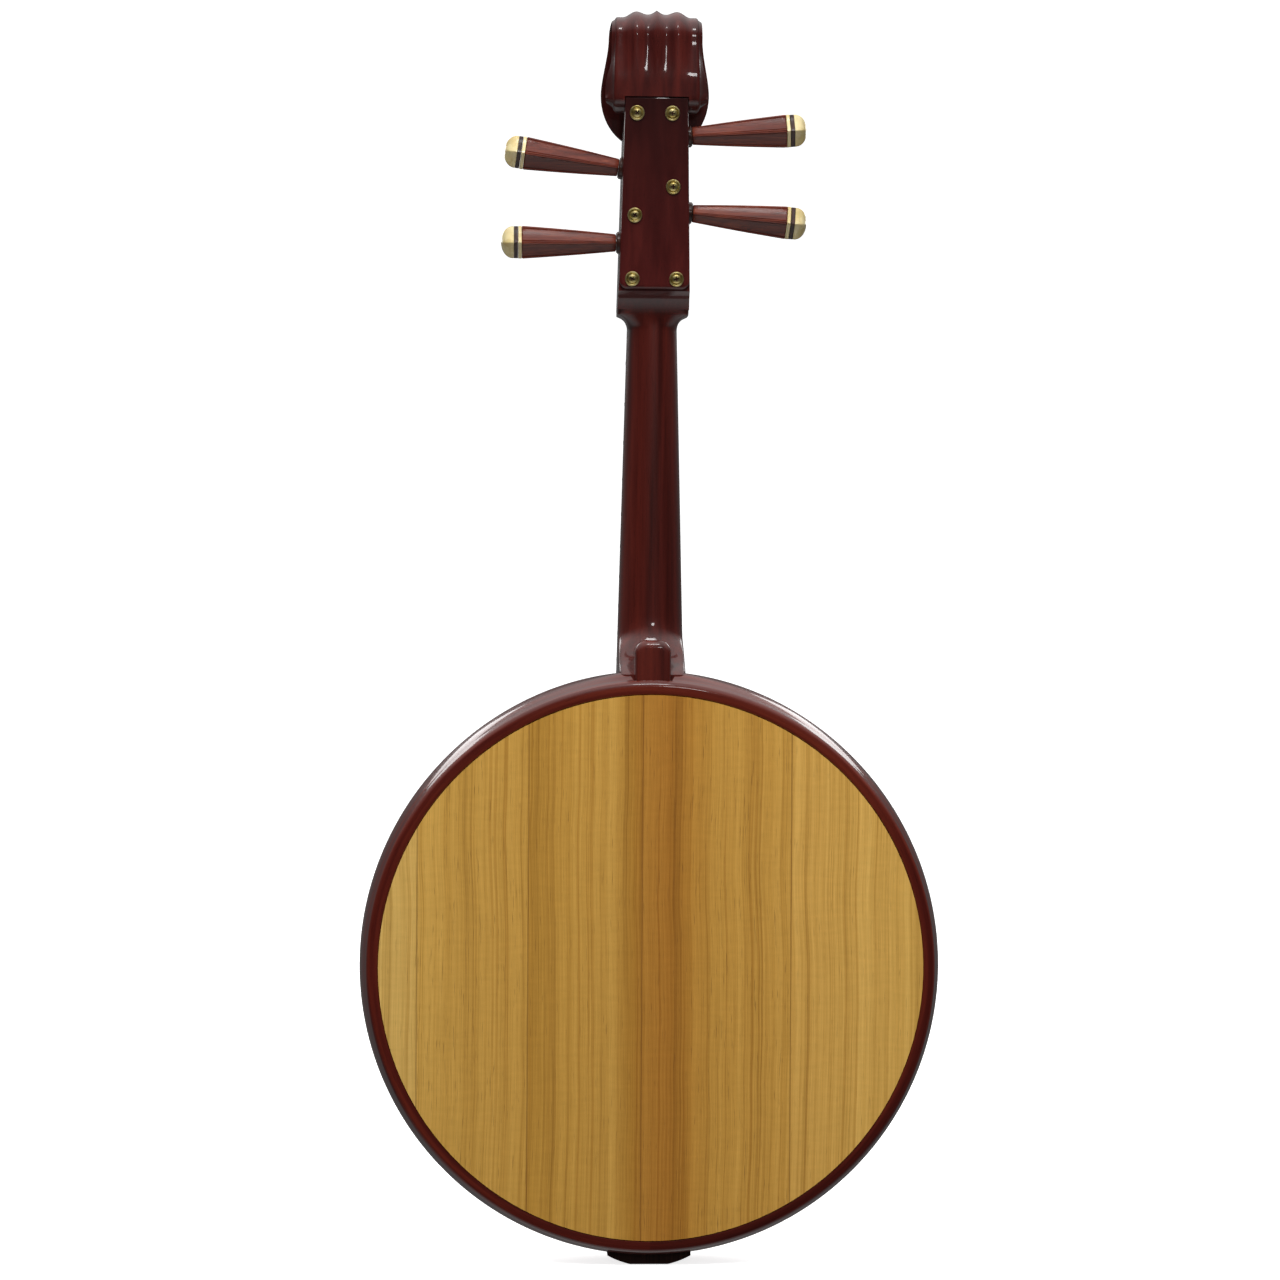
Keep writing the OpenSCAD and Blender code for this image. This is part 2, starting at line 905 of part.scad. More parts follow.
// the plate at the front of the head: a disc below, narrowing upwards
module plate_outline() {
    translate([0, roll_low_u])
        circle(r = plate_hw, $fn = 120);
    polygon([
        [-plate_hw, roll_low_u], [plate_hw, roll_low_u], [plate_hw_high, loop_u + 1],
        [crown_hw, loop_u + roll_r + 1], [-crown_hw, loop_u + roll_r + 1], [-plate_hw_high, loop_u + 1]
    ]);
}

// the roll seen from behind
module roll_outline() {
    polygon([
        [-32.4, roll_low_u - 20], [32.4, roll_low_u - 20], [33, roll_low_u + 2], [31.2, loop_u - 10],
        [crown_hw, loop_u + roll_r + 1], [-crown_hw, loop_u + roll_r + 1], [-31.2, loop_u - 10],
        [-33, roll_low_u + 2]
    ]);
}

// a straight length of ribbon below the roll: its flutes run out into the flat
module ribbon_run() {
    intersection() {
        rotate([0, 90, 0])
            rotate([0, 0, 90 + flute_run_out])
                rotate([90, 0, 0])
                    linear_extrude(height = 80)
                        ribbon_section(1);
        translate([-60, inner_roll_r, roll_low_u - loop_u])
            cube([120, roll_r - inner_roll_r, 60]);
    }
}

module head_scroll() {
    color(lacquer)
        difference() {
            head_frame() {
                intersection() {
                    depthwise(0, plate_t)
                        plate_outline();
                    translate([-60, -1, 100])
                        cube([120, 40, roll_low_u - 100]);
                }
                intersection() {
                    translate([0, roll_r, loop_u])
                        mirror([0, 1, 0])
                            ribbon_run();
                    depthwise(-1, plate_t + e)
                        plate_outline();
                }
                intersection() {
                    translate([0, roll_r, loop_u])
                        rotate([0, 90, 0])
                            rotate([0, 0, 90 + flute_run_out])
                                rotate_extrude(angle = 180 - 2 * flute_run_out, $fn = 144)
                                    ribbon_section(inner_roll_r);
                    depthwise(-1, 2 * roll_r + 1)
                        roll_outline();
                }
                intersection() {
                    translate([0, roll_r, loop_u])
                        ribbon_run();
                    depthwise(-1, 2 * roll_r + 1)
                        roll_outline();
                }
                intersection() {
                    translate([0, 2 * roll_r - curl_r, roll_low_u])
                        rotate([0, 90, 0])
                            cylinder(h = 100, r = curl_r, center = true, $fn = 96);
                    depthwise(-1, 2 * roll_r + 1)
                        roll_outline();
                    translate([-60, -1, 100])
                        cube([120, 60, roll_low_u - 100]);
                }
            }
            head_frame()
                depthwise(-e, 2 * box_depth)
                    box_outline(0, box_top, 0);
        }
}

// ---- tuners ----------------------------------------------------------------------------------

// six shallow hollow facets, with a ridge to the front and one to the back
module handle_section(w) {
    corner_r = w / sqrt(3);
    polygon([
        for (k = [0:11])
            (k % 2 == 0 ? corner_r : w / 2 * 0.955) * [cos(90 + 30 * k), sin(90 + 30 * k)]
    ]);
}

module peg_handle(i) {
    color(peg_wood)
        peg_frame(i)
            translate([0, 0, collar_t + handle_gap])
                difference() {
                    linear_extrude(height = handle_l, scale = handle_w_out / handle_w_in)
                        handle_section(handle_w_in);
                    translate([0, 0, -e])
                        cylinder(h = 20 + e, r = shaft_r, $fn = 48);
                }
}

module peg_bone_ring(i) {
    color(bone)
        peg_frame(i)
            translate([0, 0, collar_t + handle_gap + handle_l])
                linear_extrude(height = ring_bone)
                    handle_section(handle_w_out);
}

module peg_black_ring(i) {
    color(ebony)
        peg_frame(i)
            translate([0, 0, collar_t + handle_gap + handle_l + ring_bone])
                linear_extrude(height = ring_black)
                    handle_section(handle_w_out * 0.99);
}

// the six-sided dome: rings of the handle's section that close in along a quarter round
module cap_dome(w, l) {
    rings = 6;
    sweep = 84;
    pts = [
        for (s = [0:rings], k = [0:11])
            let (a = sweep * s / rings, r = (k % 2 == 0 ? w / sqrt(3) : w / 2 * 0.955) * pow(cos(a), 0.85))
            [r * cos(90 + 30 * k), r * sin(90 + 30 * k), l * sin(a) / sin(sweep)]
    ];
    sides = [
        for (s = [0:rings - 1], k = [0:11])
            let (a = 12 * s + k, b = 12 * s + (k + 1) % 12)
            each [[a, a + 12, b + 12], [a, b + 12, b]]
    ];
    polyhedron(
        points = pts,
        faces = concat([[for (k = [0:11]) k]], sides, [[for (k = [11:-1:0]) 12 * rings + k]])
    );
}

module peg_cap(i) {
    color(bone)
        peg_frame(i)
            translate([0, 0, collar_t + handle_gap + handle_l + ring_bone + ring_black])
                cap_dome(handle_w_out * 0.99, cap_l);
}

module peg_collars() {
    color(ebony)
        difference() {
            for (i = pegs)
                peg_frame(i)
                    rotate_extrude()
                        difference() {
                            translate([shaft_r + running, -3])
                                square([collar_r - shaft_r - running, collar_t + 3]);
                            translate([collar_r, collar_t])
                                circle(r = 0.8, $fn = 32);
                        }
            box_solid();
        }
}

// one turn of thread after another, swept round the shaft from -half_l to half_l
module worm_thread(half_l) {
    per_turn = 16;
    root_r = worm_core_r + 0.06;
    root_w = 1;
    tip_w = 0.6;
    n = floor(2 * (half_l - root_w) / worm_pitch * per_turn);
    pts = [
        for (k = [0:n])
            let (a = 360 * (k - n / 2) / per_turn, z = worm_pitch * (k - n / 2) / per_turn)
            each [
                [root_r * cos(a), root_r * sin(a), z - root_w / 2],
                [worm_out_r * cos(a), worm_out_r * sin(a), z - tip_w / 2],
                [worm_out_r * cos(a), worm_out_r * sin(a), z + tip_w / 2],
                [root_r * cos(a), root_r * sin(a), z + root_w / 2]
            ]
    ];
    sides = [
        for (k = [0:n - 1], s = [0:3])
            let (a = 4 * k + s, b = 4 * k + (s + 1) % 4)
            each [[b, a + 4, a], [b + 4, a + 4, b]]
    ];
    polyhedron(
        points = pts,
        faces = concat([[3, 2, 1, 0]], sides, [[4 * n, 4 * n + 1, 4 * n + 2, 4 * n + 3]])
    );
}

module worm_shaft(i) {
    wheel_way = peg_side[i] > 0 ? 0 : 180;
    color(steel)
        peg_frame(i)
            union() {
                translate([0, 0, -post_set_in[i]])
                    rotate([0, 0, wheel_way])
                        worm_thread(worm_half);
                translate([0, 0, -post_set_in[i] - worm_half])
                    cylinder(h = 2 * worm_half, r = worm_core_r, $fn = 48);
                translate([0, 0, -post_set_in[i] - worm_half - 4.4])
                    cylinder(h = 4.4, r = tip_r, $fn = 48);
                translate([0, 0, -post_set_in[i] + worm_half])
                    cylinder(
                        h = post_set_in[i] - worm_half + collar_t + handle_gap + 20,
                        r = shaft_r,
                        $fn = 48
                    );
            }
}

module worm_wheel(i) {
    color(old_brass)
        post_frame(i)
            rotate([0, 0, 90 + peg_side[i] * peg_rise[i]])
                difference() {
                    union() {
                        translate([0, 0, -wheel_half])
                            linear_extrude(height = 2 * wheel_half)
                                union() {
                                    circle(r = wheel_root_r);
                                    for (k = [0:wheel_teeth - 1])
                                        rotate([0, 0, 360 * (k + 0.5) / wheel_teeth])
                                            polygon([
                                                [wheel_root_r - 1, -tooth_root_w / 2],
                                                [wheel_out_r, -tooth_tip_w / 2],
                                                [wheel_out_r, tooth_tip_w / 2],
                                                [wheel_root_r - 1, tooth_root_w / 2]
                                            ]);
                                }
                        translate([0, 0, -wheel_half - 1.5])
                            cylinder(h = 1.5, r = 3.6);
                    }
                    translate([0, 0, -wheel_half - 2])
                        cylinder(h = 2 * wheel_half + 3, r = 1.8, $fn = 48);
                }
}

module string_post(i) {
    tip = peg_depth - 2.5;
    shoulder = peg_depth - trough_d + 0.3;
    color(steel)
        post_frame(i)
            difference() {
                union() {
                    translate([0, 0, -wheel_half - 2.2])
                        cylinder(h = 2 * wheel_half + 2.2, r = 1.8, $fn = 48);
                    translate([0, 0, wheel_half])
                        cylinder(h = shoulder - wheel_half, r = shaft_r, $fn = 48);
                    translate([0, 0, shoulder])
                        cylinder(h = tip - shoulder, r = post_r, $fn = 48);
                    translate([0, 0, tip - 1.2])
                        cylinder(h = 1.2, r = post_r + 0.7, $fn = 48);
                }
                translate([0, 0, tip - 2.6])
                    rotate([90, 0, 30])
                        cylinder(h = 20, r = 0.7, center = true, $fn = 24);
            }
}

module string_winding(k) {
    i = [for (j = strings) if (string_peg(j) == k) j][0];
    color(i < 2 ? bronze : steel)
        post_frame(k)
            rotate_extrude($fn = 64)
                for (t = [0:3])
                    translate([post_r + string_r[i], peg_depth - winding_y - t * 2 * string_r[i]])
                        circle(r = string_r[i], $fn = 24);
}

// ---- nodes -----------------------------------------------------------------------------------

rim();
back_board();
soundboard();
back_braces();
soundboard_braces();
neck_block();
tail_block();
tail_foot();
sound_hole_rings();
neck();
fingerboard();
frets();
nut();
bridge();
saddle();
string(0);  // string_1
string(1);  // string_2
string(2);  // string_3
string(3);  // string_4
pegbox();
pegbox_cover();
cover_washers();
cover_screws();
gear_plate();
gear_plate_screws();
head_scroll();
peg_collars();
peg_handle(0);  // peg_handle_1
peg_bone_ring(0);  // peg_bone_ring_1
peg_black_ring(0);  // peg_black_ring_1
peg_cap(0);  // peg_cap_1
worm_shaft(0);  // worm_shaft_1
worm_wheel(0);  // worm_wheel_1
string_post(0);  // string_post_1
string_winding(0);  // string_winding_1
peg_handle(1);  // peg_handle_2
peg_bone_ring(1);  // peg_bone_ring_2
peg_black_ring(1);  // peg_black_ring_2
peg_cap(1);  // peg_cap_2
worm_shaft(1);  // worm_shaft_2
worm_wheel(1);  // worm_wheel_2
string_post(1);  // string_post_2
string_winding(1);  // string_winding_2
peg_handle(2);  // peg_handle_3
peg_bone_ring(2);  // peg_bone_ring_3
peg_black_ring(2);  // peg_black_ring_3
peg_cap(2);  // peg_cap_3
worm_shaft(2);  // worm_shaft_3
worm_wheel(2);  // worm_wheel_3
string_post(2);  // string_post_3
string_winding(2);  // string_winding_3
peg_handle(3);  // peg_handle_4
peg_bone_ring(3);  // peg_bone_ring_4
peg_black_ring(3);  // peg_black_ring_4
peg_cap(3);  // peg_cap_4
worm_shaft(3);  // worm_shaft_4
worm_wheel(3);  // worm_wheel_4
string_post(3);  // string_post_4
string_winding(3);  // string_winding_4
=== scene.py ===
import json
import math

import bmesh
import bpy
from mathutils import Matrix, Vector


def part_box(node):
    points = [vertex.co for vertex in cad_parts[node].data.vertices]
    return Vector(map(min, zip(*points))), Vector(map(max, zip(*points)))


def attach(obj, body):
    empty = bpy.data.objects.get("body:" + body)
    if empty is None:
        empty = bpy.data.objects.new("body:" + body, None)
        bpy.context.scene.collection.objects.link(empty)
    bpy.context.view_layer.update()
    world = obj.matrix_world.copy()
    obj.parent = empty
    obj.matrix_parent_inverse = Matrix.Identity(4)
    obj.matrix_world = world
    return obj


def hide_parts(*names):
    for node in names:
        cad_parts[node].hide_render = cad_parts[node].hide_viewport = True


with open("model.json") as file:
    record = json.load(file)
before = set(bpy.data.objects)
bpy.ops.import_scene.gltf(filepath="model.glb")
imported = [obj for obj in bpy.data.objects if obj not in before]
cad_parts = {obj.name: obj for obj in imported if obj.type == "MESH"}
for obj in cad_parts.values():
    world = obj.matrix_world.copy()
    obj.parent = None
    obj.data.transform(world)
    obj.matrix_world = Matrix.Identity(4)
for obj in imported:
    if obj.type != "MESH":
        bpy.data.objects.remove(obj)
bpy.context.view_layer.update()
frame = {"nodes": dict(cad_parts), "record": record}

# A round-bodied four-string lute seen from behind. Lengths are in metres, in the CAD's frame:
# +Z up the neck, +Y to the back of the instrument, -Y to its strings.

MM = 0.001
BODY = "instrument"


def srgb(r, g, b):
    """A linear colour from 8-bit display values."""
    return tuple((c / 255 / 12.92) if c <= 10 else ((c / 255 + 0.055) / 1.055) ** 2.4 for c in (r, g, b))


# ---- places taken from the frame -----------------------------------------------------------

rim_low, rim_high = (Vector(c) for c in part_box("rim"))
BODY_C = (rim_low + rim_high) / 2
BODY_R = (rim_high.x - rim_low.x) / 2
HALF = (rim_high.y - rim_low.y) / 2
board_low, board_high = (Vector(c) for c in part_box("back_board"))
BOARD_R = (board_high.x - board_low.x) / 2
BOARD_T = board_high.y - board_low.y
NUT_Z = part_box("neck")[1][2]
FRONT_Y = rim_low.y
JOINTS = {j["name"]: j for j in frame["record"]["behaviour"]["joints"]}
HEAD_BACK = -Vector(JOINTS["post_1_turn"]["axis"])
HEAD_UP = Vector((1, 0, 0)).cross(HEAD_BACK).normalized()
HEAD_ORIGIN = Vector((0, FRONT_Y, NUT_Z))


def head_point(x, depth, up):
    """A point of the pegbox's own frame, given in millimetres."""
    return HEAD_ORIGIN + (Vector((1, 0, 0)) * x + HEAD_BACK * depth + HEAD_UP * up) * MM


# ---- materials -----------------------------------------------------------------------------

class Shade:
    """A material's node tree, written as short expressions."""

    def __init__(self, name, **settings):
        self.material = bpy.data.materials.new(name)
        self.material.use_nodes = True
        self.tree = self.material.node_tree
        self.bsdf = self.tree.nodes["Principled BSDF"]
        for key, value in settings.items():
            self.bsdf.inputs[key.replace("_", " ")].default_value = value
        self.coords = self.node("ShaderNodeTexCoord").outputs["Object"]

    def node(self, kind, **props):
        made = self.tree.nodes.new(kind)
        for key, value in props.items():
            setattr(made, key, value)
        return made

    def put(self, socket, value):
        if isinstance(value, bpy.types.NodeSocket):
            self.tree.links.new(value, socket)
        else:
            socket.default_value = value

    def math(self, operation, a, b=0.0, c=0.0, clamp=False):
        made = self.node("ShaderNodeMath", operation=operation, use_clamp=clamp)
        for socket, value in zip(made.inputs, (a, b, c)):
            self.put(socket, value)
        return made.outputs[0]

    def split(self, vector):
        made = self.node("ShaderNodeSeparateXYZ")
        self.put(made.inputs[0], vector)
        return made.outputs

    def join(self, x, y, z):
        made = self.node("ShaderNodeCombineXYZ")
        for socket, value in zip(made.inputs, (x, y, z)):
            self.put(socket, value)
        return made.outputs[0]

    def stretch(self, vector, scale, shift=(0, 0, 0)):
        made = self.node("ShaderNodeMapping")
        self.put(made.inputs["Vector"], vector)
        made.inputs["Scale"].default_value = scale
        made.inputs["Location"].default_value = shift
        return made.outputs[0]

    def noise(self, vector, scale=1.0, detail=4.0, rough=0.55, warp=0.0, w=None):
        made = self.node("ShaderNodeTexNoise", noise_dimensions="4D" if w is not None else "3D")
        self.put(made.inputs["Vector"], vector)
        made.inputs["Scale"].default_value = scale
        made.inputs["Detail"].default_value = detail
        made.inputs["Roughness"].default_value = rough
        made.inputs["Distortion"].default_value = warp
        if w is not None:
            self.put(made.inputs["W"], w)
        return made.outputs["Fac"]

    def ramp(self, factor, stops, kind="LINEAR"):
        made = self.node("ShaderNodeValToRGB")
        made.color_ramp.interpolation = kind
        marks = made.color_ramp.elements
        while len(marks) < len(stops):
            marks.new(0.5)
        for mark, (place, colour) in zip(marks, stops):
            mark.position = place
            mark.color = (*colour, 1) if isinstance(colour, tuple) else (colour, colour, colour, 1)
        self.put(made.inputs[0], factor)
        return made.outputs[0]

    def mix(self, factor, a, b, blend="MIX"):
        made = self.node("ShaderNodeMix", data_type="RGBA", blend_type=blend)
        self.put(made.inputs[0], factor)
        for socket, value in ((made.inputs[6], a), (made.inputs[7], b)):
            self.put(socket, (*value, 1) if isinstance(value, tuple) else value)
        return made.outputs[2]

    def bump(self, height, strength, distance):
        made = self.node("ShaderNodeBump")
        self.put(made.inputs["Height"], height)
        made.inputs["Strength"].default_value = strength
        made.inputs["Distance"].default_value = distance
        self.put(self.bsdf.inputs["Normal"], made.outputs[0])
        return made.outputs[0]

    def colour(self, value):
        self.put(self.bsdf.inputs["Base Color"], value)

    def roughness(self, value):
        self.put(self.bsdf.inputs["Roughness"], value)


def lacquered_wood(name, dark, mid, light, along, coat=0.8, rough=(0.3, 0.45), fade=None):
    """Stained hardwood under gloss lacquer: streaks along the grain, short pores, faint waves on top.
    along turns object coordinates into (across, across, along the grain)."""
    s = Shade(name, Coat_Weight=coat, Coat_Roughness=0.06, Coat_IOR=1.5, Specular_IOR_Level=0.25)
    grain = along(s)
    streaks = s.noise(s.stretch(grain, (170, 170, 5)), detail=5, rough=0.6, warp=0.3)
    bands = s.noise(s.stretch(grain, (46, 46, 2.2)), detail=3, warp=0.5)
    base = s.ramp(s.math("ADD", s.math("MULTIPLY", streaks, 0.55), s.math("MULTIPLY", bands, 0.45)),
                  [(0.34, dark), (0.5, mid), (0.68, light)])
    if fade:
        # painted light and shade: the colour is multiplied by a ramp along the grain from one tint to
        # another, so one end is lit up and the other darkened: (low, high, low tint, high tint)
        low, high, low_tint, high_tint = fade
        run = s.math("DIVIDE", s.math("SUBTRACT", s.split(grain)[2], low), high - low)
        base = s.mix(1.0, base, s.ramp(run, [(0.0, low_tint), (1.0, high_tint)]), "MULTIPLY")
    pores = s.noise(s.stretch(grain, (1700, 1700, 90)), detail=2)
    pore_mask = s.ramp(pores, [(0.60, 0.0), (0.72, 1.0)])
    s.colour(s.mix(s.math("MULTIPLY", pore_mask, 0.4), base, tuple(c * 0.45 for c in dark)))
    s.roughness(s.ramp(streaks, [(0.3, rough[0]), (0.7, rough[1])]))
    ripple = s.noise(s.coords, scale=28, detail=1)
    s.bump(s.math("ADD", s.math("MULTIPLY", ripple, 1.0), s.math("MULTIPLY", pore_mask, -0.05)), 0.12, 0.0006)
    return s.material


def straight(s):
    return s.coords


def sideways(s):
    """Grain along X, as on the pegs."""
    x, y, z = s.split(s.coords)
    return s.join(y, z, x)


def around_rim(s):
    """Grain that follows the rim round its circumference."""
    x, y, z = s.split(s.coords)
    up = s.math("SUBTRACT", z, BODY_C.z)
    radius = s.math("SQRT", s.math("ADD", s.math("MULTIPLY", x, x), s.math("MULTIPLY", up, up)))
    arc = s.math("MULTIPLY", s.math("ARCTAN2", x, up), BODY_R)
    return s.join(radius, y, arc)


def board_wood(name, tones, seed):
    """Pale softwood planks, edge to edge: straight grain, broad darker bands, pores, dark glue lines.
    tones are (x in metres, colour) from one side to the other; the joints lie at JOINT_X."""
    s = Shade(name, Coat_Weight=0.06, Coat_Roughness=0.35, Specular_IOR_Level=0.3)
    x, y, z = s.split(s.coords)
    across = s.math("MULTIPLY_ADD", x, 0.5 / BOARD_R, 0.5)
    plank = s.ramp(across, [(0.0, 0.1)] + [(0.5 + j * 0.5 / BOARD_R, 0.25 + 0.15 * k)
                                           for k, j in enumerate(JOINT_X)], "CONSTANT")
    tone = s.ramp(across, [(0.5 + t[0] * 0.5 / BOARD_R, t[1]) for t in tones])
    drift = s.noise(s.stretch(s.coords, (3, 3, 5)), detail=2)
    bent = s.math("ADD", x, s.math("MULTIPLY", s.math("SUBTRACT", drift, 0.5), 0.012))
    grain = s.join(bent, plank, z)
    bands = s.noise(s.stretch(grain, (110, 30, 0.8), (seed, 0, 0)), detail=3, rough=0.5, warp=0.1)
    lines = s.noise(s.stretch(grain, (520, 30, 1.3), (0, seed, 0)), detail=4, rough=0.7)
    rings = s.noise(s.stretch(grain, (260, 30, 0.7), (seed, seed, 0)), detail=1, rough=0.4)
    fibres = s.noise(s.stretch(grain, (2100, 60, 20)), detail=3, rough=0.6)
    pores = s.noise(s.stretch(grain, (1500, 50, 55)), detail=1)
    shade = s.math("ADD", s.math("MULTIPLY", bands, 0.5), s.math("MULTIPLY", lines, 0.5))
    depths = s.ramp(shade, [(0.3, (0.55, 0.48, 0.36)), (0.47, (0.9, 0.87, 0.8)),
                            (0.6, (1.03, 1.04, 1.06)), (0.75, (1.08, 1.11, 1.18))])
    colour = s.mix(1.0, tone, depths, "MULTIPLY")
    ring_mask = s.ramp(rings, [(0.60, (1.0, 1.0, 1.0)), (0.66, (0.82, 0.76, 0.66)),
                               (0.70, (0.98, 0.98, 0.97))])
    colour = s.mix(1.0, colour, ring_mask, "MULTIPLY")
    threads = s.ramp(fibres, [(0.3, (0.86, 0.84, 0.8)), (0.6, (1.05, 1.05, 1.06))])
    colour = s.mix(1.0, colour, threads, "MULTIPLY")
    pore_mask = s.ramp(pores, [(0.66, 0.0), (0.75, 1.0)])
    colour = s.mix(s.math("MULTIPLY", pore_mask, 0.45), colour, srgb(104, 66, 30))
    mottle = s.noise(s.stretch(s.coords, (60, 60, 260)), detail=2)
    clouds = s.ramp(mottle, [(0.3, (0.97, 0.97, 0.96)), (0.7, (1.03, 1.03, 1.03))])
    colour = s.mix(1.0, colour, clouds, "MULTIPLY")
    for j in JOINT_X:
        sway = s.noise(s.join(j * 40, 0.0, z), scale=30)
        wander = s.math("MULTIPLY", s.math("SUBTRACT", sway, 0.5), 0.0006)
        off = s.math("ABSOLUTE", s.math("ADD", s.math("SUBTRACT", x, j), wander))
        line = s.math("SUBTRACT", 1.0, s.math("DIVIDE", off, 0.0007), clamp=True)
        colour = s.mix(s.math("MULTIPLY", line, 0.6), colour, srgb(92, 52, 18))
    s.colour(colour)
    s.roughness(s.ramp(fibres, [(0.3, 0.5), (0.7, 0.66)]))
    s.bump(s.math("ADD", s.math("MULTIPLY", fibres, 0.5), s.math("MULTIPLY", pore_mask, -0.6)), 0.35, 0.00025)
    return s.material


def bare_wood(name, dark, light):
    s = Shade(name)
    grain = s.noise(s.stretch(s.coords, (12, 300, 300)), detail=4, warp=0.2)
    s.colour(s.ramp(grain, [(0.3, dark), (0.7, light)]))
    s.roughness(s.ramp(grain, [(0.3, 0.6), (0.7, 0.8)]))
    s.bump(grain, 0.3, 0.0003)
    return s.material


def peg_wood(name):
    """Oiled reddish wood with long dark pores along the peg."""
    s = Shade(name, Coat_Weight=0.4, Coat_Roughness=0.22, Specular_IOR_Level=0.3)
    grain = sideways(s)
    streaks = s.noise(s.stretch(grain, (420, 420, 16)), detail=5, rough=0.65, warp=0.2)
    bands = s.noise(s.stretch(grain, (110, 110, 6)), detail=2)
    pores = s.noise(s.stretch(grain, (1400, 1400, 75)), detail=2)
    base = s.ramp(s.math("ADD", s.math("MULTIPLY", streaks, 0.6), s.math("MULTIPLY", bands, 0.4)),
                  [(0.34, srgb(66, 22, 14)), (0.5, srgb(96, 38, 25)), (0.66, srgb(128, 62, 42))])
    pore_mask = s.ramp(pores, [(0.58, 0.0), (0.68, 1.0)])
    s.colour(s.mix(s.math("MULTIPLY", pore_mask, 0.6), base, srgb(40, 14, 10)))
    s.roughness(s.ramp(streaks, [(0.3, 0.34), (0.7, 0.5)]))
    s.bump(s.math("ADD", s.math("MULTIPLY", streaks, 0.4), s.math("MULTIPLY", pore_mask, -0.6)), 0.3, 0.0003)
    return s.material


def ebony(name, light=(70, 38, 29)):
    s = Shade(name, Coat_Weight=0.3, Coat_Roughness=0.15, Specular_IOR_Level=0.3)
    streaks = s.noise(s.stretch(s.coords, (500, 500, 18)), detail=4, rough=0.6)
    s.colour(s.ramp(streaks, [(0.35, srgb(24, 13, 10)), (0.7, srgb(*light))]))
    s.roughness(s.ramp(streaks, [(0.3, 0.28), (0.7, 0.45)]))
    s.bump(streaks, 0.15, 0.0002)
    return s.material


def bone(name):
    """Polished bone: creamy, with fine hair-like pores and faint yellowing."""
    s = Shade(name, Coat_Weight=0.4, Coat_Roughness=0.12, Subsurface_Weight=0.15, Subsurface_Scale=0.002)
    s.bsdf.inputs["Subsurface Radius"].default_value = (1.0, 0.7, 0.4)
    cloud = s.noise(s.coords, scale=90, detail=3)
    hairs = s.noise(s.stretch(sideways(s), (2600, 2600, 160)), detail=1)
    base = s.ramp(cloud, [(0.35, srgb(208, 186, 126)), (0.65, srgb(228, 212, 162))])
    s.colour(s.mix(s.ramp(hairs, [(0.64, 0.0), (0.74, 0.35)]), base, srgb(170, 140, 88)))
    s.roughness(s.ramp(cloud, [(0.3, 0.22), (0.7, 0.34)]))
    s.bump(hairs, 0.08, 0.0001)
    return s.material


def metal(name, dull, bright, rough=(0.2, 0.42), grime_and_painted_shade=0.0, scratch=(900, 900, 900)):
    """Worn metal: cloudy tarnish, fine scratches."""
    s = Shade(name, Metallic=1.0)
    cloud = s.noise(s.coords, scale=260, detail=4)
    fine = s.noise(s.stretch(s.coords, scratch), detail=3, rough=0.7)
    colour = s.ramp(cloud, [(0.3, dull), (0.6, bright)])
    if grime_and_painted_shade:
        colour = s.mix(s.ramp(cloud, [(0.25, grime_and_painted_shade), (0.42, 0.0)]), colour, tuple(c * 0.3 for c in dull))
    s.colour(colour)
    s.roughness(s.ramp(s.math("ADD", s.math("MULTIPLY", cloud, 0.5), s.math("MULTIPLY", fine, 0.5)),
                       [(0.35, rough[0]), (0.65, rough[1])]))
    s.bump(fine, 0.1, 0.0001)
    return s.material


def wound_string(name, colour, turns):
    """Fine wire wound round a core: close ridges across the string."""
    s = Shade(name, Metallic=1.0)
    z = s.split(s.coords)[2]
    ridge = s.math("SINE", s.math("MULTIPLY", z, 2 * math.pi * turns))
    tarnish = s.noise(s.coords, scale=60, detail=2)
    s.colour(s.mix(s.ramp(tarnish, [(0.4, 0.0), (0.7, 0.5)]), colour, tuple(c * 0.55 for c in colour)))
    s.roughness(s.ramp(tarnish, [(0.3, 0.25), (0.7, 0.42)]))
    s.bump(ridge, 0.4, 0.0001)
    return s.material


# joints between the boards' planks, left to right
JOINT_X = (-0.1, 0.007, 0.0886, 0.168)
BACK_TONES = [
    (-0.19, srgb(225, 179, 92)), (-0.1005, srgb(223, 174, 88)), (-0.0995, srgb(213, 163, 77)),
    (-0.045, srgb(211, 160, 74)), (-0.028, srgb(195, 140, 58)), (-0.012, srgb(182, 124, 48)),
    (0.006, srgb(187, 131, 53)), (0.014, srgb(188, 136, 55)), (0.028, srgb(211, 162, 77)),
    (0.087, srgb(204, 154, 67)), (0.09, srgb(211, 162, 76)), (0.167, srgb(213, 166, 80)),
    (0.169, srgb(225, 183, 100)), (0.19, srgb(227, 186, 103)),
]
FRONT_TONES = [
    (-0.19, srgb(214, 176, 108)), (-0.1005, srgb(206, 166, 98)), (-0.0995, srgb(216, 180, 112)),
    (0.0065, srgb(208, 168, 98)), (0.0075, srgb(218, 182, 116)), (0.19, srgb(210, 172, 104)),
]

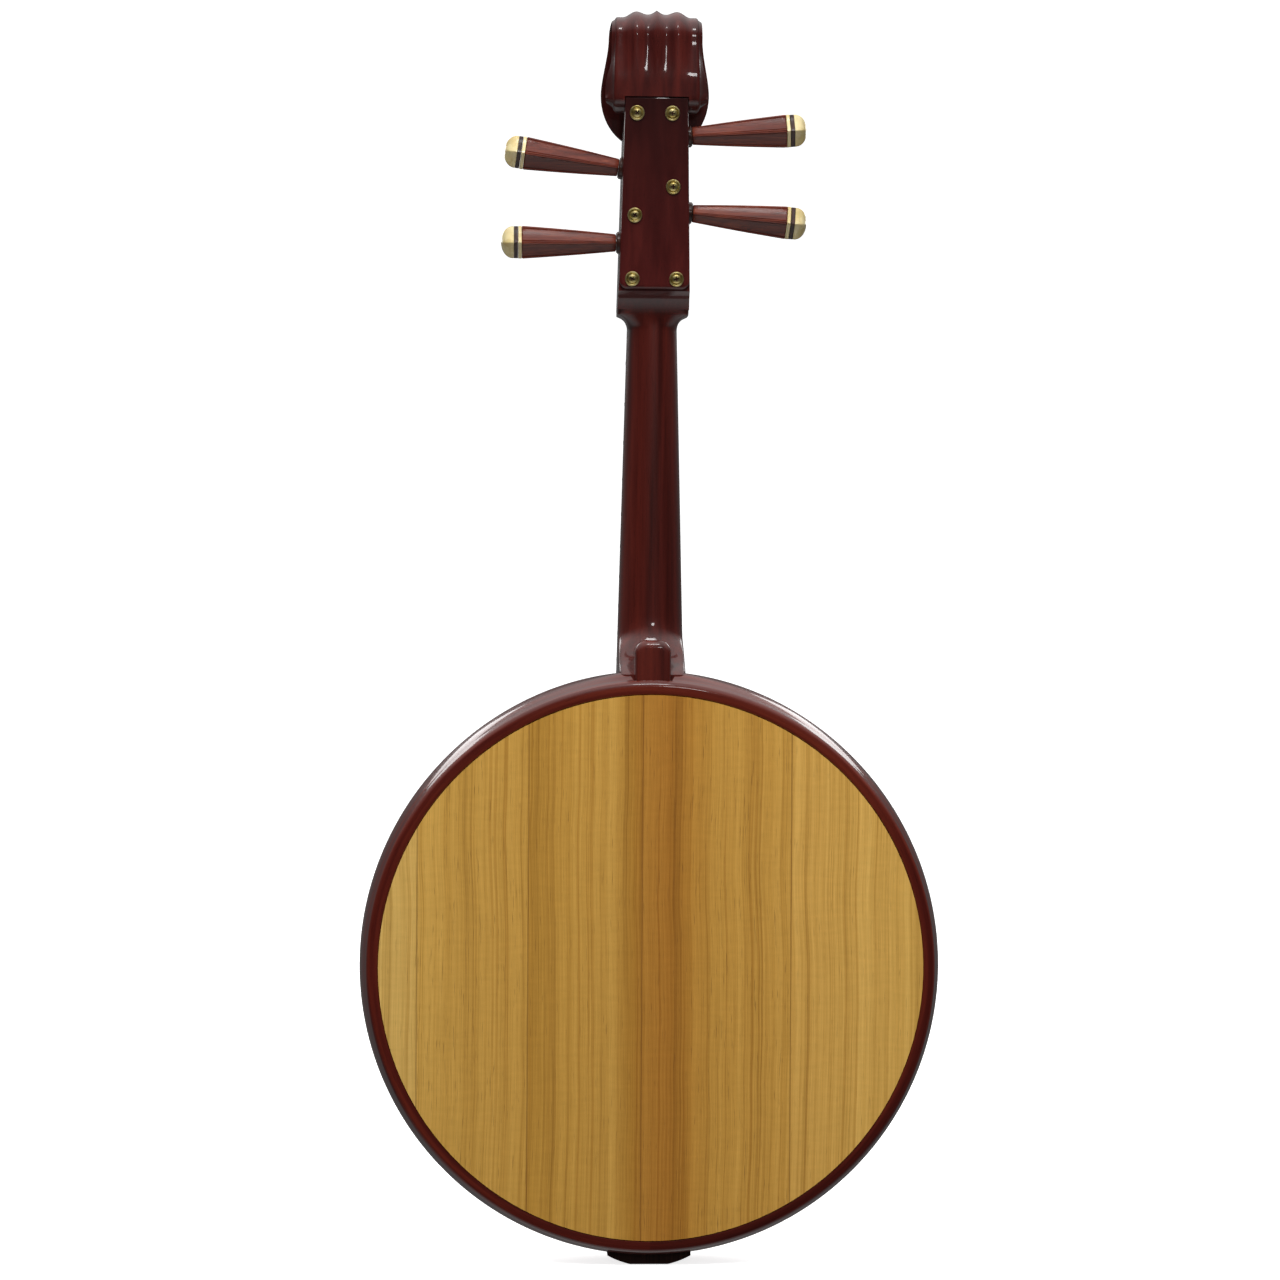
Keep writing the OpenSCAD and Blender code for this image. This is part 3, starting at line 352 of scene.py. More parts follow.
MAT = {
    "rim_lacquer": lacquered_wood(
        "rim_lacquer", srgb(48, 12, 9), srgb(78, 22, 15), srgb(112, 40, 24), around_rim),
    "neck_lacquer": lacquered_wood(
        "neck_lacquer", srgb(50, 14, 11), srgb(76, 24, 18), srgb(98, 34, 24), straight),
    "head_lacquer": lacquered_wood(
        "head_lacquer", srgb(44, 13, 12), srgb(66, 21, 18), srgb(88, 30, 24), straight),
    # painted light and shade: the pegbox lacquer is brightened lower down and darkened higher up
    "pegbox_lacquer": lacquered_wood("pegbox_lacquer", srgb(52, 14, 13), srgb(62, 18, 16), srgb(76, 25, 21),
                                     straight, fade=(0.7, 0.85, (1.6, 1.6, 1.6), (0.3, 0.22, 0.24))),
    "ring_inlay": lacquered_wood(
        "ring_inlay", srgb(36, 12, 10), srgb(58, 22, 16), srgb(86, 34, 24), around_rim),
    "board_wood": board_wood("board_wood", BACK_TONES, 3.7),
    "soundboard_wood": board_wood("soundboard_wood", FRONT_TONES, 11.3),
    "brace_wood": bare_wood("brace_wood", srgb(176, 140, 88), srgb(216, 186, 132)),
    "ebony": ebony("ebony"),
    "peg_wood": peg_wood("peg_wood"),
    "bridge_wood": lacquered_wood("bridge_wood", srgb(44, 18, 12), srgb(78, 34, 22), srgb(104, 52, 34),
                                  sideways, coat=0.3, rough=(0.35, 0.5)),
    "bone": bone("bone"),
    "brass": metal("brass", srgb(196, 172, 96), srgb(240, 224, 158), rough=(0.28, 0.42), grime_and_painted_shade=0.2),
    "fret_metal": metal("fret_metal", srgb(170, 150, 96), srgb(220, 204, 150), rough=(0.15, 0.3)),
    "steel": metal("steel", srgb(150, 150, 150), srgb(196, 196, 196), rough=(0.2, 0.36)),
    "string_bronze": wound_string("string_bronze", srgb(188, 128, 84), 2600),
    "string_steel": metal("string_steel", srgb(176, 176, 178), srgb(214, 214, 216), rough=(0.12, 0.25)),
}

# ---- mesh helpers --------------------------------------------------------------------------


def finish_piece(obj, slot, body=BODY, replaces=(), sharp=38):
    """Gives a made piece its material, its body and the CAD nodes that it stands for."""
    obj.data.materials.clear()
    obj.data.materials.append(MAT[slot])
    obj.data.shade_smooth()
    obj.data.set_sharp_from_angle(angle=math.radians(sharp))
    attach(obj, body)
    if replaces:
        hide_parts(*replaces)
    return obj


def new_object(name, bm):
    mesh = bpy.data.meshes.new(name)
    bmesh.ops.remove_doubles(bm, verts=bm.verts, dist=1e-6)
    bmesh.ops.recalc_face_normals(bm, faces=bm.faces)
    bm.to_mesh(mesh)
    bm.free()
    obj = bpy.data.objects.new(name, mesh)
    bpy.context.scene.collection.objects.link(obj)
    return obj


def loft(name, rings, closed=True, loop=False, caps=True):
    """A skin over rings of points. loop joins the last ring to the first; caps close the two ends."""
    bm = bmesh.new()
    rows = [[bm.verts.new(p) for p in ring] for ring in rings]
    count = len(rows[0])
    pairs = list(zip(rows, rows[1:] + rows[:1])) if loop else list(zip(rows, rows[1:]))
    for a, b in pairs:
        for k in range(count if closed else count - 1):
            m = (k + 1) % count
            bm.faces.new((a[k], a[m], b[m], b[k]))
    if caps and not loop:
        bm.faces.new(rows[0])
        bm.faces.new(rows[-1])
    return new_object(name, bm)


def bevel(obj, width, segments=2, angle=35):
    mod = obj.modifiers.new("soft_edges", "BEVEL")
    mod.width = width
    mod.segments = segments
    mod.limit_method = "ANGLE"
    mod.angle_limit = math.radians(angle)
    mod.use_clamp_overlap = True
    return mod


def cut(obj, cutter):
    """Takes one closed mesh out of another, for good."""
    mod = obj.modifiers.new("cut", "BOOLEAN")
    mod.operation = "DIFFERENCE"
    mod.solver = "EXACT"
    mod.object = cutter
    graph = bpy.context.evaluated_depsgraph_get()
    solid = bpy.data.meshes.new_from_object(obj.evaluated_get(graph))
    obj.modifiers.clear()
    old = obj.data
    obj.data = solid
    bpy.data.meshes.remove(old)
    bpy.data.objects.remove(cutter)


def prism(name, outline, low, high):
    """A closed prism: outline is a list of (x, z) points, low and high are its two y levels."""
    return loft(name, [[Vector((x, y, z)) for x, z in outline] for y in (low, high)])


def arc(cx, cy, r, start, end, steps):
    """Points of a circle's arc, by angle in degrees."""
    turn = (end - start) / steps
    angles = [math.radians(start + turn * k) for k in range(steps + 1)]
    return [(cx + r * math.cos(a), cy + r * math.sin(a)) for a in angles]


def smooth_step(t):
    t = min(1.0, max(0.0, t))
    return t * t * (3 - 2 * t)


# ---- body ----------------------------------------------------------------------------------

RIM_ARC = 0.068
RIM_WALL = 0.0128
# the rim's swelling towards the neck and the land round its foot: height, and spread in degrees
SWELL = (0.0026, 38)
LAND = (0.0035, 9)
LAND_BACK = 0.026


def make_rim():
    """The rim, turned as one ring, with the pocket that lets the heel in."""
    arc_c = BODY_R - RIM_ARC
    crown = 0.0034
    outer = math.degrees(math.asin((HALF - crown) / RIM_ARC))
    round_c = arc_c + RIM_ARC * math.cos(math.radians(outer)) - crown * 0.92
    right = arc(arc_c, 0, RIM_ARC, -outer + 2, outer - 2, 30)
    back_edge = arc(round_c, HALF - crown, crown, 24, 90, 8)
    front_edge = [(r, -y) for r, y in reversed(back_edge)]
    bead = [(BOARD_R + 0.0026, HALF), (BOARD_R + 0.0009, HALF - 0.0002), (BOARD_R + 0.0002, HALF - 0.0009)]
    inner = arc(arc_c, 0, RIM_ARC - RIM_WALL, 27, -27, 12)
    ledge_y = HALF - BOARD_T
    ledge_r = arc_c + math.sqrt((RIM_ARC - RIM_WALL) ** 2 - ledge_y ** 2)
    section = (right + back_edge + bead
               + [(BOARD_R + 0.0002, ledge_y), (ledge_r, ledge_y)] + inner
               + [(ledge_r, -ledge_y), (BOARD_R + 0.0002, -ledge_y)]
               + [(r, -y) for r, y in reversed(bead)] + front_edge)
    turns = 288
    rings = []

    def grow(r):
        return smooth_step((r - BOARD_R - 0.004) / (BODY_R - BOARD_R - 0.004))

    def lip(y):
        """The raised land round the neck's foot, highest behind the rim's middle."""
        return math.sin(math.pi * min(max(y / LAND_BACK, 0.0), 1.0) ** 1.6) ** 2

    for k in range(turns):
        a = 2 * math.pi * k / turns
        # the rim swells a little towards the neck
        off = math.degrees(min(a, 2 * math.pi - a))
        swell = SWELL[0] * math.exp(-(off / SWELL[1]) ** 2)
        land = LAND[0] * math.exp(-(off / LAND[1]) ** 2)
        ring = []
        for r, y in section:
            out = r + (swell + land * lip(y)) * grow(r)
            ring.append(Vector((out * math.sin(a), y, BODY_C.z + out * math.cos(a))))
        rings.append(ring)
    rim = loft("rim_ring", rings, loop=True)
    top = BODY_C.z + BODY_R + 0.0022
    pocket = [(-0.0206, top + 0.006), (-0.0206, top + 0.0032), (-0.0134, top - 0.0068),
              (0.0134, top - 0.0068), (0.0206, top + 0.0032), (0.0206, top + 0.006)]
    cut(rim, prism("pocket", pocket, 0.004, 0.0262))
    return finish_piece(rim, "rim_lacquer", replaces=["rim"], sharp=30)


# ---- neck ----------------------------------------------------------------------------------

NECK_TOP_HW = 0.0179
NECK_LOW_HW = 0.0245
NECK_DEPTH = 0.023
SHOULDER_Z = 0.677
COVE_TOP = 0.467
COVE_R = 0.043
SCOOP_Z = 0.6785
SCOOP_R = 0.026


def neck_half_width(z):
    top = BODY_C.z + BODY_R
    hw = NECK_LOW_HW + (NECK_TOP_HW - NECK_LOW_HW) * (z - top) / (NUT_Z - top)
    r = 0.0098
    if z > SHOULDER_Z - 0.0006:
        rise = min(z - SHOULDER_Z + 0.0006, r)
        hw += (r - math.sqrt(r * r - rise * rise)) * 0.86
    return min(hw, 0.0261)


def neck_back(z):
    """The level of the neck's back: swept back at the foot and up to the pegbox's block."""
    y = FRONT_Y + NECK_DEPTH
    if z < COVE_TOP:
        run = min(COVE_TOP - z, COVE_R * 0.95)
        y += COVE_R - math.sqrt(COVE_R ** 2 - run ** 2)
    if z > SCOOP_Z:
        y += SCOOP_R - math.sqrt(SCOOP_R * SCOOP_R - (z - SCOOP_Z) ** 2)
    return y


def make_neck():
    low = BODY_C.z + BODY_R - 0.006
    levels = [low + (COVE_TOP - low) * k / 16 for k in range(16)]
    levels += [COVE_TOP + (0.672 - COVE_TOP) * k / 16 for k in range(16)]
    levels += [0.672 + (NUT_Z - 0.672) * k / 22 for k in range(23)]
    rings = []
    steps = 40
    for z in levels:
        hw = neck_half_width(z)
        depth = neck_back(z) - FRONT_Y
        squared = smooth_step((z - 0.676) / (NUT_Z - 0.676))
        foot = smooth_step((COVE_TOP - 0.013 - z) / 0.022)
        side = 0.005 + 0.010 * squared + foot * 0.012
        power = 2.15 + 3.4 * squared + 6.0 * foot
        ring = [Vector((hw, FRONT_Y + side * 0.5, z))]
        for k in range(steps + 1):
            t = math.pi * k / steps
            c, s = math.cos(t), math.sin(t)
            x = hw * math.copysign(abs(c) ** (2 / power), c)
            ring.append(Vector((x, FRONT_Y + side + (depth - side) * abs(s) ** (2 / power), z)))
        ring.append(Vector((-hw, FRONT_Y + side * 0.5, z)))
        ring += [Vector((-hw, FRONT_Y, z)), Vector((0, FRONT_Y, z)), Vector((hw, FRONT_Y, z))]
        rings.append(ring)
    neck = loft("neck_shaft", rings)
    # the foot follows the rim's barrel
    turns = 96
    barrel = []
    for k in range(-3, 4):
        y = HALF * 1.05 * k / 3
        r = BODY_R - RIM_ARC + math.sqrt(RIM_ARC ** 2 - y * y) - 0.0003
        barrel.append([Vector((r * math.sin(2 * math.pi * j / turns), y,
                               BODY_C.z + r * math.cos(2 * math.pi * j / turns))) for j in range(turns)])
    cut(neck, loft("barrel", barrel))
    return finish_piece(neck, "neck_lacquer", replaces=["neck"], sharp=28)


def make_heel():
    """The block behind the neck's foot: round top corners, softened back edges."""
    hw = 0.0131
    corner = 0.0092
    low = BODY_C.z + BODY_R - 0.0072
    top = 0.4494
    back = HALF - 0.0038
    soft = 0.0024

    def outline(inset, drop):
        pts = [(hw - inset, low)]
        pts += [(x, z - drop) for x, z in arc(hw - corner, top - corner, corner - inset, 0, 90, 12)]
        pts += [(x, z - drop) for x, z in arc(-hw + corner, top - corner, corner - inset, 90, 180, 12)]
        pts += [(-hw + inset, low)]
        return pts

    rings = [[Vector((x, FRONT_Y + 0.012, z)) for x, z in outline(0.0, 0.0)]]
    for k in range(10):
        a = math.radians(10 * k)
        inset = soft * (1 - math.cos(a))
        level = back - 2 * soft * (1 - math.sin(a))
        rings.append([Vector((x, level, z)) for x, z in outline(inset, 1.6 * inset)])
    rings.append([Vector((x, back, z)) for x, z in outline(1.5 * soft, 2.2 * soft)])
    heel = loft("neck_heel", rings)
    return finish_piece(heel, "neck_lacquer", sharp=40)


# ---- pegbox cover --------------------------------------------------------------------------

def box_half_width(up):
    return 26.2 + (22.9 - 26.2) * up / 156


def make_cover():
    """The screwed plate: rounded lower corners, its lower edge rolled over, thin bright arrises."""
    low, high, back, front = 18.5, 155.4, 38.0, 35.0
    corner = 6.0

    def outline(inset, lift):
        top_hw = box_half_width(high) - 0.3 - inset
        pts = [(-top_hw, high - inset), (top_hw, high - inset)]
        hw = box_half_width(low) - 0.3
        for k in range(9):
            a = math.radians(90 - 11.25 * (8 - k) - 90)
            r = corner - inset
            pts.append((hw - corner + r * math.cos(a), low + lift + corner + r * math.sin(a)))
        # the arc above runs from the bottom upwards, so its points are turned round
        pts[2:] = reversed(pts[2:])
        left = [(-x, u) for x, u in reversed(pts[2:])]
        return pts + left

    rings = [[head_point(x, front, u) for x, u in outline(0.0, 0.0)]]
    for depth, inset, lift in ((36.2, 0.0, 0.0), (37.0, 0.05, 0.3), (37.6, 0.15, 0.8), (37.9, 0.35, 1.6),
                               (38.0, 0.7, 2.4), (38.0, 1.2, 3.2)):
        rings.append([head_point(x, depth, u) for x, u in outline(inset, lift)])
    cover = loft("cover_plate", rings)
    return finish_piece(cover, "pegbox_lacquer", replaces=["pegbox_cover"], sharp=32)


# places of the cover's screws, (x, up) in the head's frame
SCREWS = ((16.1, 25.9), (-15.8, 25.9), (14.8, 71.5), (-12.6, 92.0), (14.0, 144.3), (-11.4, 144.3))
COVER_FACE = 38.0


def turned(name, at, profile, steps=56):
    """A turned piece on the cover: profile is (radius, height), from its outside foot to its middle."""
    angles = [2 * math.pi * k / steps for k in range(steps)]
    rings = [[head_point(at[0] + r * math.cos(a), COVER_FACE + h, at[1] + r * math.sin(a)) for a in angles]
             for r, h in profile]
    return loft(name, rings)


# profiles (radius, height) of the washer's cup and the screw's dome
CUP = ((5.4, -0.3), (5.4, 0.35), (5.3, 0.75), (5.05, 1.05), (4.7, 1.15), (4.35, 1.1), (4.1, 0.9),
       (3.9, 0.55), (3.7, 0.3), (3.3, 0.2), (2.4, 0.2), (2.4, -0.3))
DOME = ((2.9, 0.1), (3.2, 0.35), (3.25, 0.7), (3.1, 1.0), (2.75, 1.3), (2.2, 1.58), (1.5, 1.78), (0.7, 1.88))


def make_cover_screws():
    """Six cup washers, each with a domed cross-head screw sunk in it."""
    for k, at in enumerate(SCREWS):
        finish_piece(turned(f"cup_washer_{k}", at, CUP), "brass", replaces=["cover_washers"], sharp=50)
        screw = turned(f"cover_screw_{k}", at, DOME)
        turn = math.radians(25 + 50 * k)

        def cross(h, reach, thick):
            """A cross's outline at one level of the driver's recess."""
            ring = []
            for arm in range(4):
                a = turn + math.pi / 2 * arm
                along = Vector((math.cos(a), math.sin(a)))
                beside = Vector((-along.y, along.x))
                for c in (along * reach - beside * thick, along * reach + beside * thick,
                          (along + beside) * thick):
                    ring.append(head_point(at[0] + c.x, COVER_FACE + h, at[1] + c.y))
            return ring

        cut(screw, loft("recess", [cross(0.5, 1.2, 0.4), cross(2.4, 2.5, 0.6)]))
        # painted shade: a thin dark ebony insert laid in the bottom of each cross recess, where shade falls
        grime_and_painted_shade = loft(f"screw_recess_shade_{k}", [cross(0.45, 1.2, 0.41), cross(1.15, 1.62, 0.46)])
        finish_piece(grime_and_painted_shade, "ebony")
        finish_piece(screw, "brass", replaces=["cover_screws"], sharp=40)


# ---- head scroll ---------------------------------------------------------------------------

ROLL_R = 19.3
ROLL_T = 9.0
LOOP_U = 198.2
CURL_U = 157.0
PLATE_HW = 39.3


def flute(x):
    """How far the ribbon's face lies below its crests, across the head."""
    a = abs(x)
    if a <= 6.5:
        return 2.9 * math.sin(math.pi / 2 * a / 6.5)
    if a <= 14.6:
        return 2.9 - 2.1 * (1 - math.cos(math.pi * (a - 6.5) / 8.1)) / 2
    if a <= 24.5:
        return 0.8 + 4.2 * (1 - math.cos(math.pi * (a - 14.6) / 9.9)) / 2
    return 5.0


def ribbon_ring(outer, inner, hw_out, hw_in, depth, soft=1.5):
    """One closed section of the ribbon. outer and inner are (depth, up) in the head's frame."""
    out = Vector(outer)
    inn = Vector(inner)
    way = (out - inn).normalized()
    across = 48
    ring = []
    for k in range(across + 1):
        x = -(hw_out - soft) + 2 * (hw_out - soft) * k / across
        p = out - way * flute(x * 29.6 / hw_out) * depth
        ring.append(head_point(x, p.x, p.y))
    edge = out - way * flute(30) * depth
    for a in (30, 60, 90):
        t = math.radians(a)
        p = edge - way * soft * (1 - math.cos(t))
        ring.append(head_point(hw_out - soft + soft * math.sin(t), p.x, p.y))
    for t in (0.5, 1.0):
        p = (edge - way * soft).lerp(inn + way * 0.8, t)
        ring.append(head_point(hw_out + (hw_in - hw_out) * t, p.x, p.y))
    for k in range(9):
        x = (hw_in - 0.8) * (1 - k / 4)
        ring.append(head_point(x, inn.x, inn.y))
    for t in (1.0, 0.5):
        p = (edge - way * soft).lerp(inn + way * 0.8, t)
        ring.append(head_point(-(hw_out + (hw_in - hw_out) * t), p.x, p.y))
    for a in (90, 60, 30):
        t = math.radians(a)
        p = edge - way * soft * (1 - math.cos(t))
        ring.append(head_point(-(hw_out - soft + soft * math.sin(t)), p.x, p.y))
    return ring


def make_scroll():
    rings = []
    # up the front plate: a disc below, narrowing above
    for k in range(15):
        a = math.radians(-84 + 84 * k / 14)
        up = CURL_U + PLATE_HW * math.sin(a)
        hw = PLATE_HW * math.cos(a) ** 0.86
        rings.append(ribbon_ring((0.0, up), (ROLL_T, up), hw, hw, 0.0, soft=min(1.5, hw * 0.3)))
    for k in range(1, 12):
        t = k / 12
        hw = PLATE_HW + (34.0 - PLATE_HW) * smooth_step(t) ** 0.9
        up = CURL_U + (LOOP_U - CURL_U) * t
        rings.append(ribbon_ring((0.0, up), (ROLL_T, up), hw, hw, smooth_step((t - 0.35) / 0.65)))
    # over the top
    for k in range(25):
        t = k / 24
        a = math.radians(180 - 180 * t)
        outer = (ROLL_R + ROLL_R * math.cos(a), LOOP_U + ROLL_R * math.sin(a))
        inner_r = ROLL_R - ROLL_T
        inner = (ROLL_R + inner_r * math.cos(a), LOOP_U + inner_r * math.sin(a))
        hw_out = 34.0 + (29.7 - 34.0) * smooth_step(t / 0.5) if t < 0.5 else 29.7 + 0.4 * (t - 0.5) / 0.5
        hw_in = hw_out + 2.6 * smooth_step(t / 0.5)
        rings.append(ribbon_ring(outer, inner, hw_out, min(hw_in, 34.2), 1.0))
    # down the back, the flutes running out
    for k in range(1, 16):
        t = k / 16
        up = LOOP_U + (CURL_U - 2 - LOOP_U) * t
        hw = 30.1 + 1.2 * t
        flare = 32.7 + 4.0 * smooth_step((t - 0.35) / 0.45)
        fade = 1 - smooth_step(t / 0.72)
        rings.append(ribbon_ring((2 * ROLL_R, up), (2 * ROLL_R - ROLL_T, up), hw, flare, fade))
    # the curl beside the cover plate: a tight turn, a slope, and under
    # (depth, up, half-width outside, half-width inside)
    curl = [(38.6, 155.0, 31.3, 36.7), (38.3, 153.2, 31.4, 36.7), (37.2, 151.2, 31.5, 36.5),
            (34.9, 149.0, 31.6, 36.0), (31.8, 147.0, 31.5, 35.2), (28.4, 145.4, 31.2, 34.0),
            (24.6, 144.2, 30.5, 32.4), (20.4, 144.0, 29.6, 30.6), (16.8, 145.6, 29.0, 29.6),
            (14.4, 149.0, 28.6, 28.8)]
    for depth, up, hw_out, hw_in in curl:
        away = Vector((25.0, 154.0)) - Vector((depth, up))
        inner = Vector((depth, up)) + away.normalized() * 6.0
        rings.append(ribbon_ring((depth, up), tuple(inner), hw_out, hw_in, 0.0, soft=2.2))
    scroll = loft("head_roll", rings)
    cutter = []
    for depth in (-4, 46):
        cutter.append([head_point(x, depth, u) for x, u in
                       ((-box_half_width(90), 90), (box_half_width(90), 90),
                        (box_half_width(156), 156), (-box_half_width(156), 156))])
    cut(scroll, loft("pegbox_room", cutter))
    return finish_piece(scroll, "head_lacquer", replaces=["head_scroll"], sharp=34)


# ---- tuning pegs ---------------------------------------------------------------------------

def peg_space(k):
    """The peg's own frame as a matrix: Z out along the peg, Y to the back."""
    joint = JOINTS[f"peg_{k}_turn"]
    out = Vector(joint["axis"]).normalized()
    back = (HEAD_BACK - out * HEAD_BACK.dot(out)).normalized()
    side = back.cross(out)
    return Matrix.Translation(Vector(joint["pos_m"])) @ Matrix((side, back, out)).transposed().to_4x4()


def peg_section(width, samples=20):
    """A hexagon with hollow facets; each corner carries a fine double bead, one corner faces the back."""
    corner = width / math.sqrt(3)
    flat = width / 2
    pts = []
    for facet in range(6):
        for k in range(samples):
            t = k / samples
            a = math.radians(90 + 60 * facet + 60 * t)
            bow = math.cos(math.radians(60 * t - 30))
            r = flat / bow
            hollow = 0.045 * width / 2 * math.sin(math.pi * t) ** 0.8
            bead = 0.0
            near = min(t, 1 - t) * samples
            if near < 0.5:
                bead = -0.03 * width
            elif near < 1.5:
                bead = 0.0
            elif near < 2.5:
                bead = -0.022 * width
            r = min(r - hollow + bead, corner)
            pts.append((r * math.cos(a), r * math.sin(a)))
    return pts


def plain_section(width):
    """The rings' and cap's section: six slightly hollow facets, softened corners."""
    pts = []
    for k in range(48):
        a = 360 * k / 48
        t = (a % 60) / 60
        r = width / 2 / math.cos(math.radians(60 * t - 30))
        r = min(r - 0.03 * width / 2 * math.sin(math.pi * t), width / math.sqrt(3) * 0.975)
        t = math.radians(90 + a)
        pts.append((r * math.cos(t), r * math.sin(t)))
    return pts


def make_peg(k):
    space = peg_space(k)
    body = f"peg_{k}"
    start, wood, ring_w, black_w, cap_l = 2.8, 68.0, 2.7, 3.1, 9.5
    w_in, w_out = 12.7, 23.6

    def ring(section, z, scale=1.0):
        return [space @ Vector((x * scale * MM, y * scale * MM, z * MM)) for x, y in section]

    rings = [ring(peg_section(w_in), start, 0.82), ring(peg_section(w_in), start + 0.25, 0.95)]
    steps = 24
    for j in range(steps + 1):
        t = j / steps
        width = w_in + (w_out - w_in) * (t + 0.05 * math.sin(math.pi * t))
        rings.append(ring(peg_section(width), start + 0.8 + (wood - 1.6) * t))
    rings.append(ring(peg_section(w_out), start + wood - 0.35, 0.985))
    rings.append(ring(peg_section(w_out), start + wood, 0.95))
    handle = loft(f"peg_{k}_wood", rings)
    finish_piece(handle, "peg_wood", body, [f"peg_handle_{k}"], sharp=24)

    z = start + wood
    for name, slot, length, width in ((f"peg_{k}_bone_band", "bone", ring_w, w_out),
                                      (f"peg_{k}_black_band", "ebony", black_w, w_out * 0.985)):
        section = plain_section(width)
        rings = [ring(section, z + 0.12, 0.965), ring(section, z + 0.4), ring(section, z + length - 0.3),
                 ring(section, z + length - 0.05, 0.97)]
        node = f"peg_bone_ring_{k}" if slot == "bone" else f"peg_black_ring_{k}"
        finish_piece(loft(name, rings), slot, body, [node], sharp=30)
        z += length
    section = plain_section(w_out * 0.985)
    rings = [ring(section, z + 0.02, 0.975), ring(section, z + 0.3, 0.995)]
    for j in range(17):
        a = math.radians(87 * j / 16)
        rings.append(ring(section, z + 0.9 + (cap_l - 1.0) * math.sin(a), math.cos(a) * 0.995))
    finish_piece(loft(f"peg_{k}_tip", rings), "bone", body, [f"peg_cap_{k}"], sharp=30)


# ---- the CAD nodes that stay ---------------------------------------------------------------

def dress_cad_nodes():
    """Every CAD node gets its slot's material; visible hard edges are softened."""
    slots = {p["node"]: p["material_slot"] for p in frame["record"]["subparts"]}
    soft = {"pegbox": 0.0007, "tail_foot": 0.0008, "back_board": 0.0004, "soundboard": 0.0004,
            "fingerboard": 0.0006, "bridge": 0.0007, "nut": 0.0004, "saddle": 0.0003, "peg_collars": 0.0003}
    for name, slot in slots.items():
        obj = frame["nodes"][name]
        if not obj.material_slots:
            obj.data.materials.append(MAT[slot])
        for holder in obj.material_slots:
            holder.material = MAT[slot]
        obj.data.polygons.foreach_set("use_smooth", [True] * len(obj.data.polygons))
        obj.data.set_sharp_from_angle(angle=math.radians(30))
        if name in soft:
            bevel(obj, soft[name])


dress_cad_nodes()
make_rim()
make_neck()
make_heel()
make_cover()
make_cover_screws()
make_scroll()
for number in (1, 2, 3, 4):
    make_peg(number)

# ---- camera --------------------------------------------------------------------------------

AIM = Vector((0.0098, HALF, 0.4494))
YAW = math.radians(2.5)
ROLL = math.radians(0.36)
DISTANCE = 2.3
FRAME_WIDTH = 1280 * 0.000716  # the picture's width at the distance of the aim
SENSOR = 36
camera_data = bpy.data.cameras.new("camera")
camera_data.sensor_width = SENSOR
camera_data.lens = SENSOR * DISTANCE / FRAME_WIDTH
camera = bpy.data.objects.new("camera", camera_data)
bpy.context.scene.collection.objects.link(camera)
away = Vector((math.sin(YAW), math.cos(YAW), 0))
up = Vector((0, 0, 1)) * math.cos(ROLL) + Vector((1, 0, 0)) * math.sin(ROLL)
right = up.cross(away).normalized()
up = away.cross(right)
turn = Matrix((right, up, away)).transposed().to_4x4()
camera.matrix_world = Matrix.Translation(AIM + away * DISTANCE) @ turn
bpy.context.scene.camera = camera

# ---- studio --------------------------------------------------------------------------------

def make_stage():
    """A white room in one sheet: a round floor that curves up into a wall all the way round."""
    profile = [(0.02, 0.0), (0.8, 0.0), (2.0, 0.0), (3.3, 0.0)]
    profile += [(3.3 + 0.9 * math.sin(math.radians(a)), 0.9 - 0.9 * math.cos(math.radians(a)))
                for a in range(6, 91, 6)]
    profile += [(4.2, 5.0)]
    turns = 96
    rings = [[Vector((r * math.cos(2 * math.pi * k / turns), r * math.sin(2 * math.pi * k / turns), z))
              for k in range(turns)] for r, z in profile]
    sweep = loft("sweep", rings, caps=False)
    bm = bmesh.new()
    bm.from_mesh(sweep.data)
    bmesh.ops.holes_fill(bm, edges=[e for e in bm.edges if e.is_boundary and e.verts[0].co.z < 0.1])
    bm.to_mesh(sweep.data)
    bm.free()
    sweep.data.shade_smooth()
    paper = Shade("paper", Roughness=0.9, Emission_Strength=0.8)
    paper.bsdf.inputs["Emission Color"].default_value = (1, 1, 1, 1)
    grain = paper.noise(paper.coords, scale=500, detail=2)
    paper.colour(paper.ramp(grain, [(0.3, (0.86, 0.86, 0.86)), (0.7, (0.9, 0.9, 0.9))]))
    paper.bump(grain, 0.05, 0.0002)
    sweep.data.materials.append(paper.material)
    sweep.visible_glossy = False
    sweep.visible_diffuse = False
    sweep.visible_shadow = False


def area(name, place, target, width, height, power):
    data = bpy.data.lights.new(name, "AREA")
    data.shape = "RECTANGLE"
    data.size = width
    data.size_y = height
    data.energy = power
    lamp = bpy.data.objects.new(name, data)
    bpy.context.scene.collection.objects.link(lamp)
    lamp.location = place
    lamp.rotation_euler = (Vector(target) - Vector(place)).to_track_quat("-Z", "Y").to_euler()
    return lamp


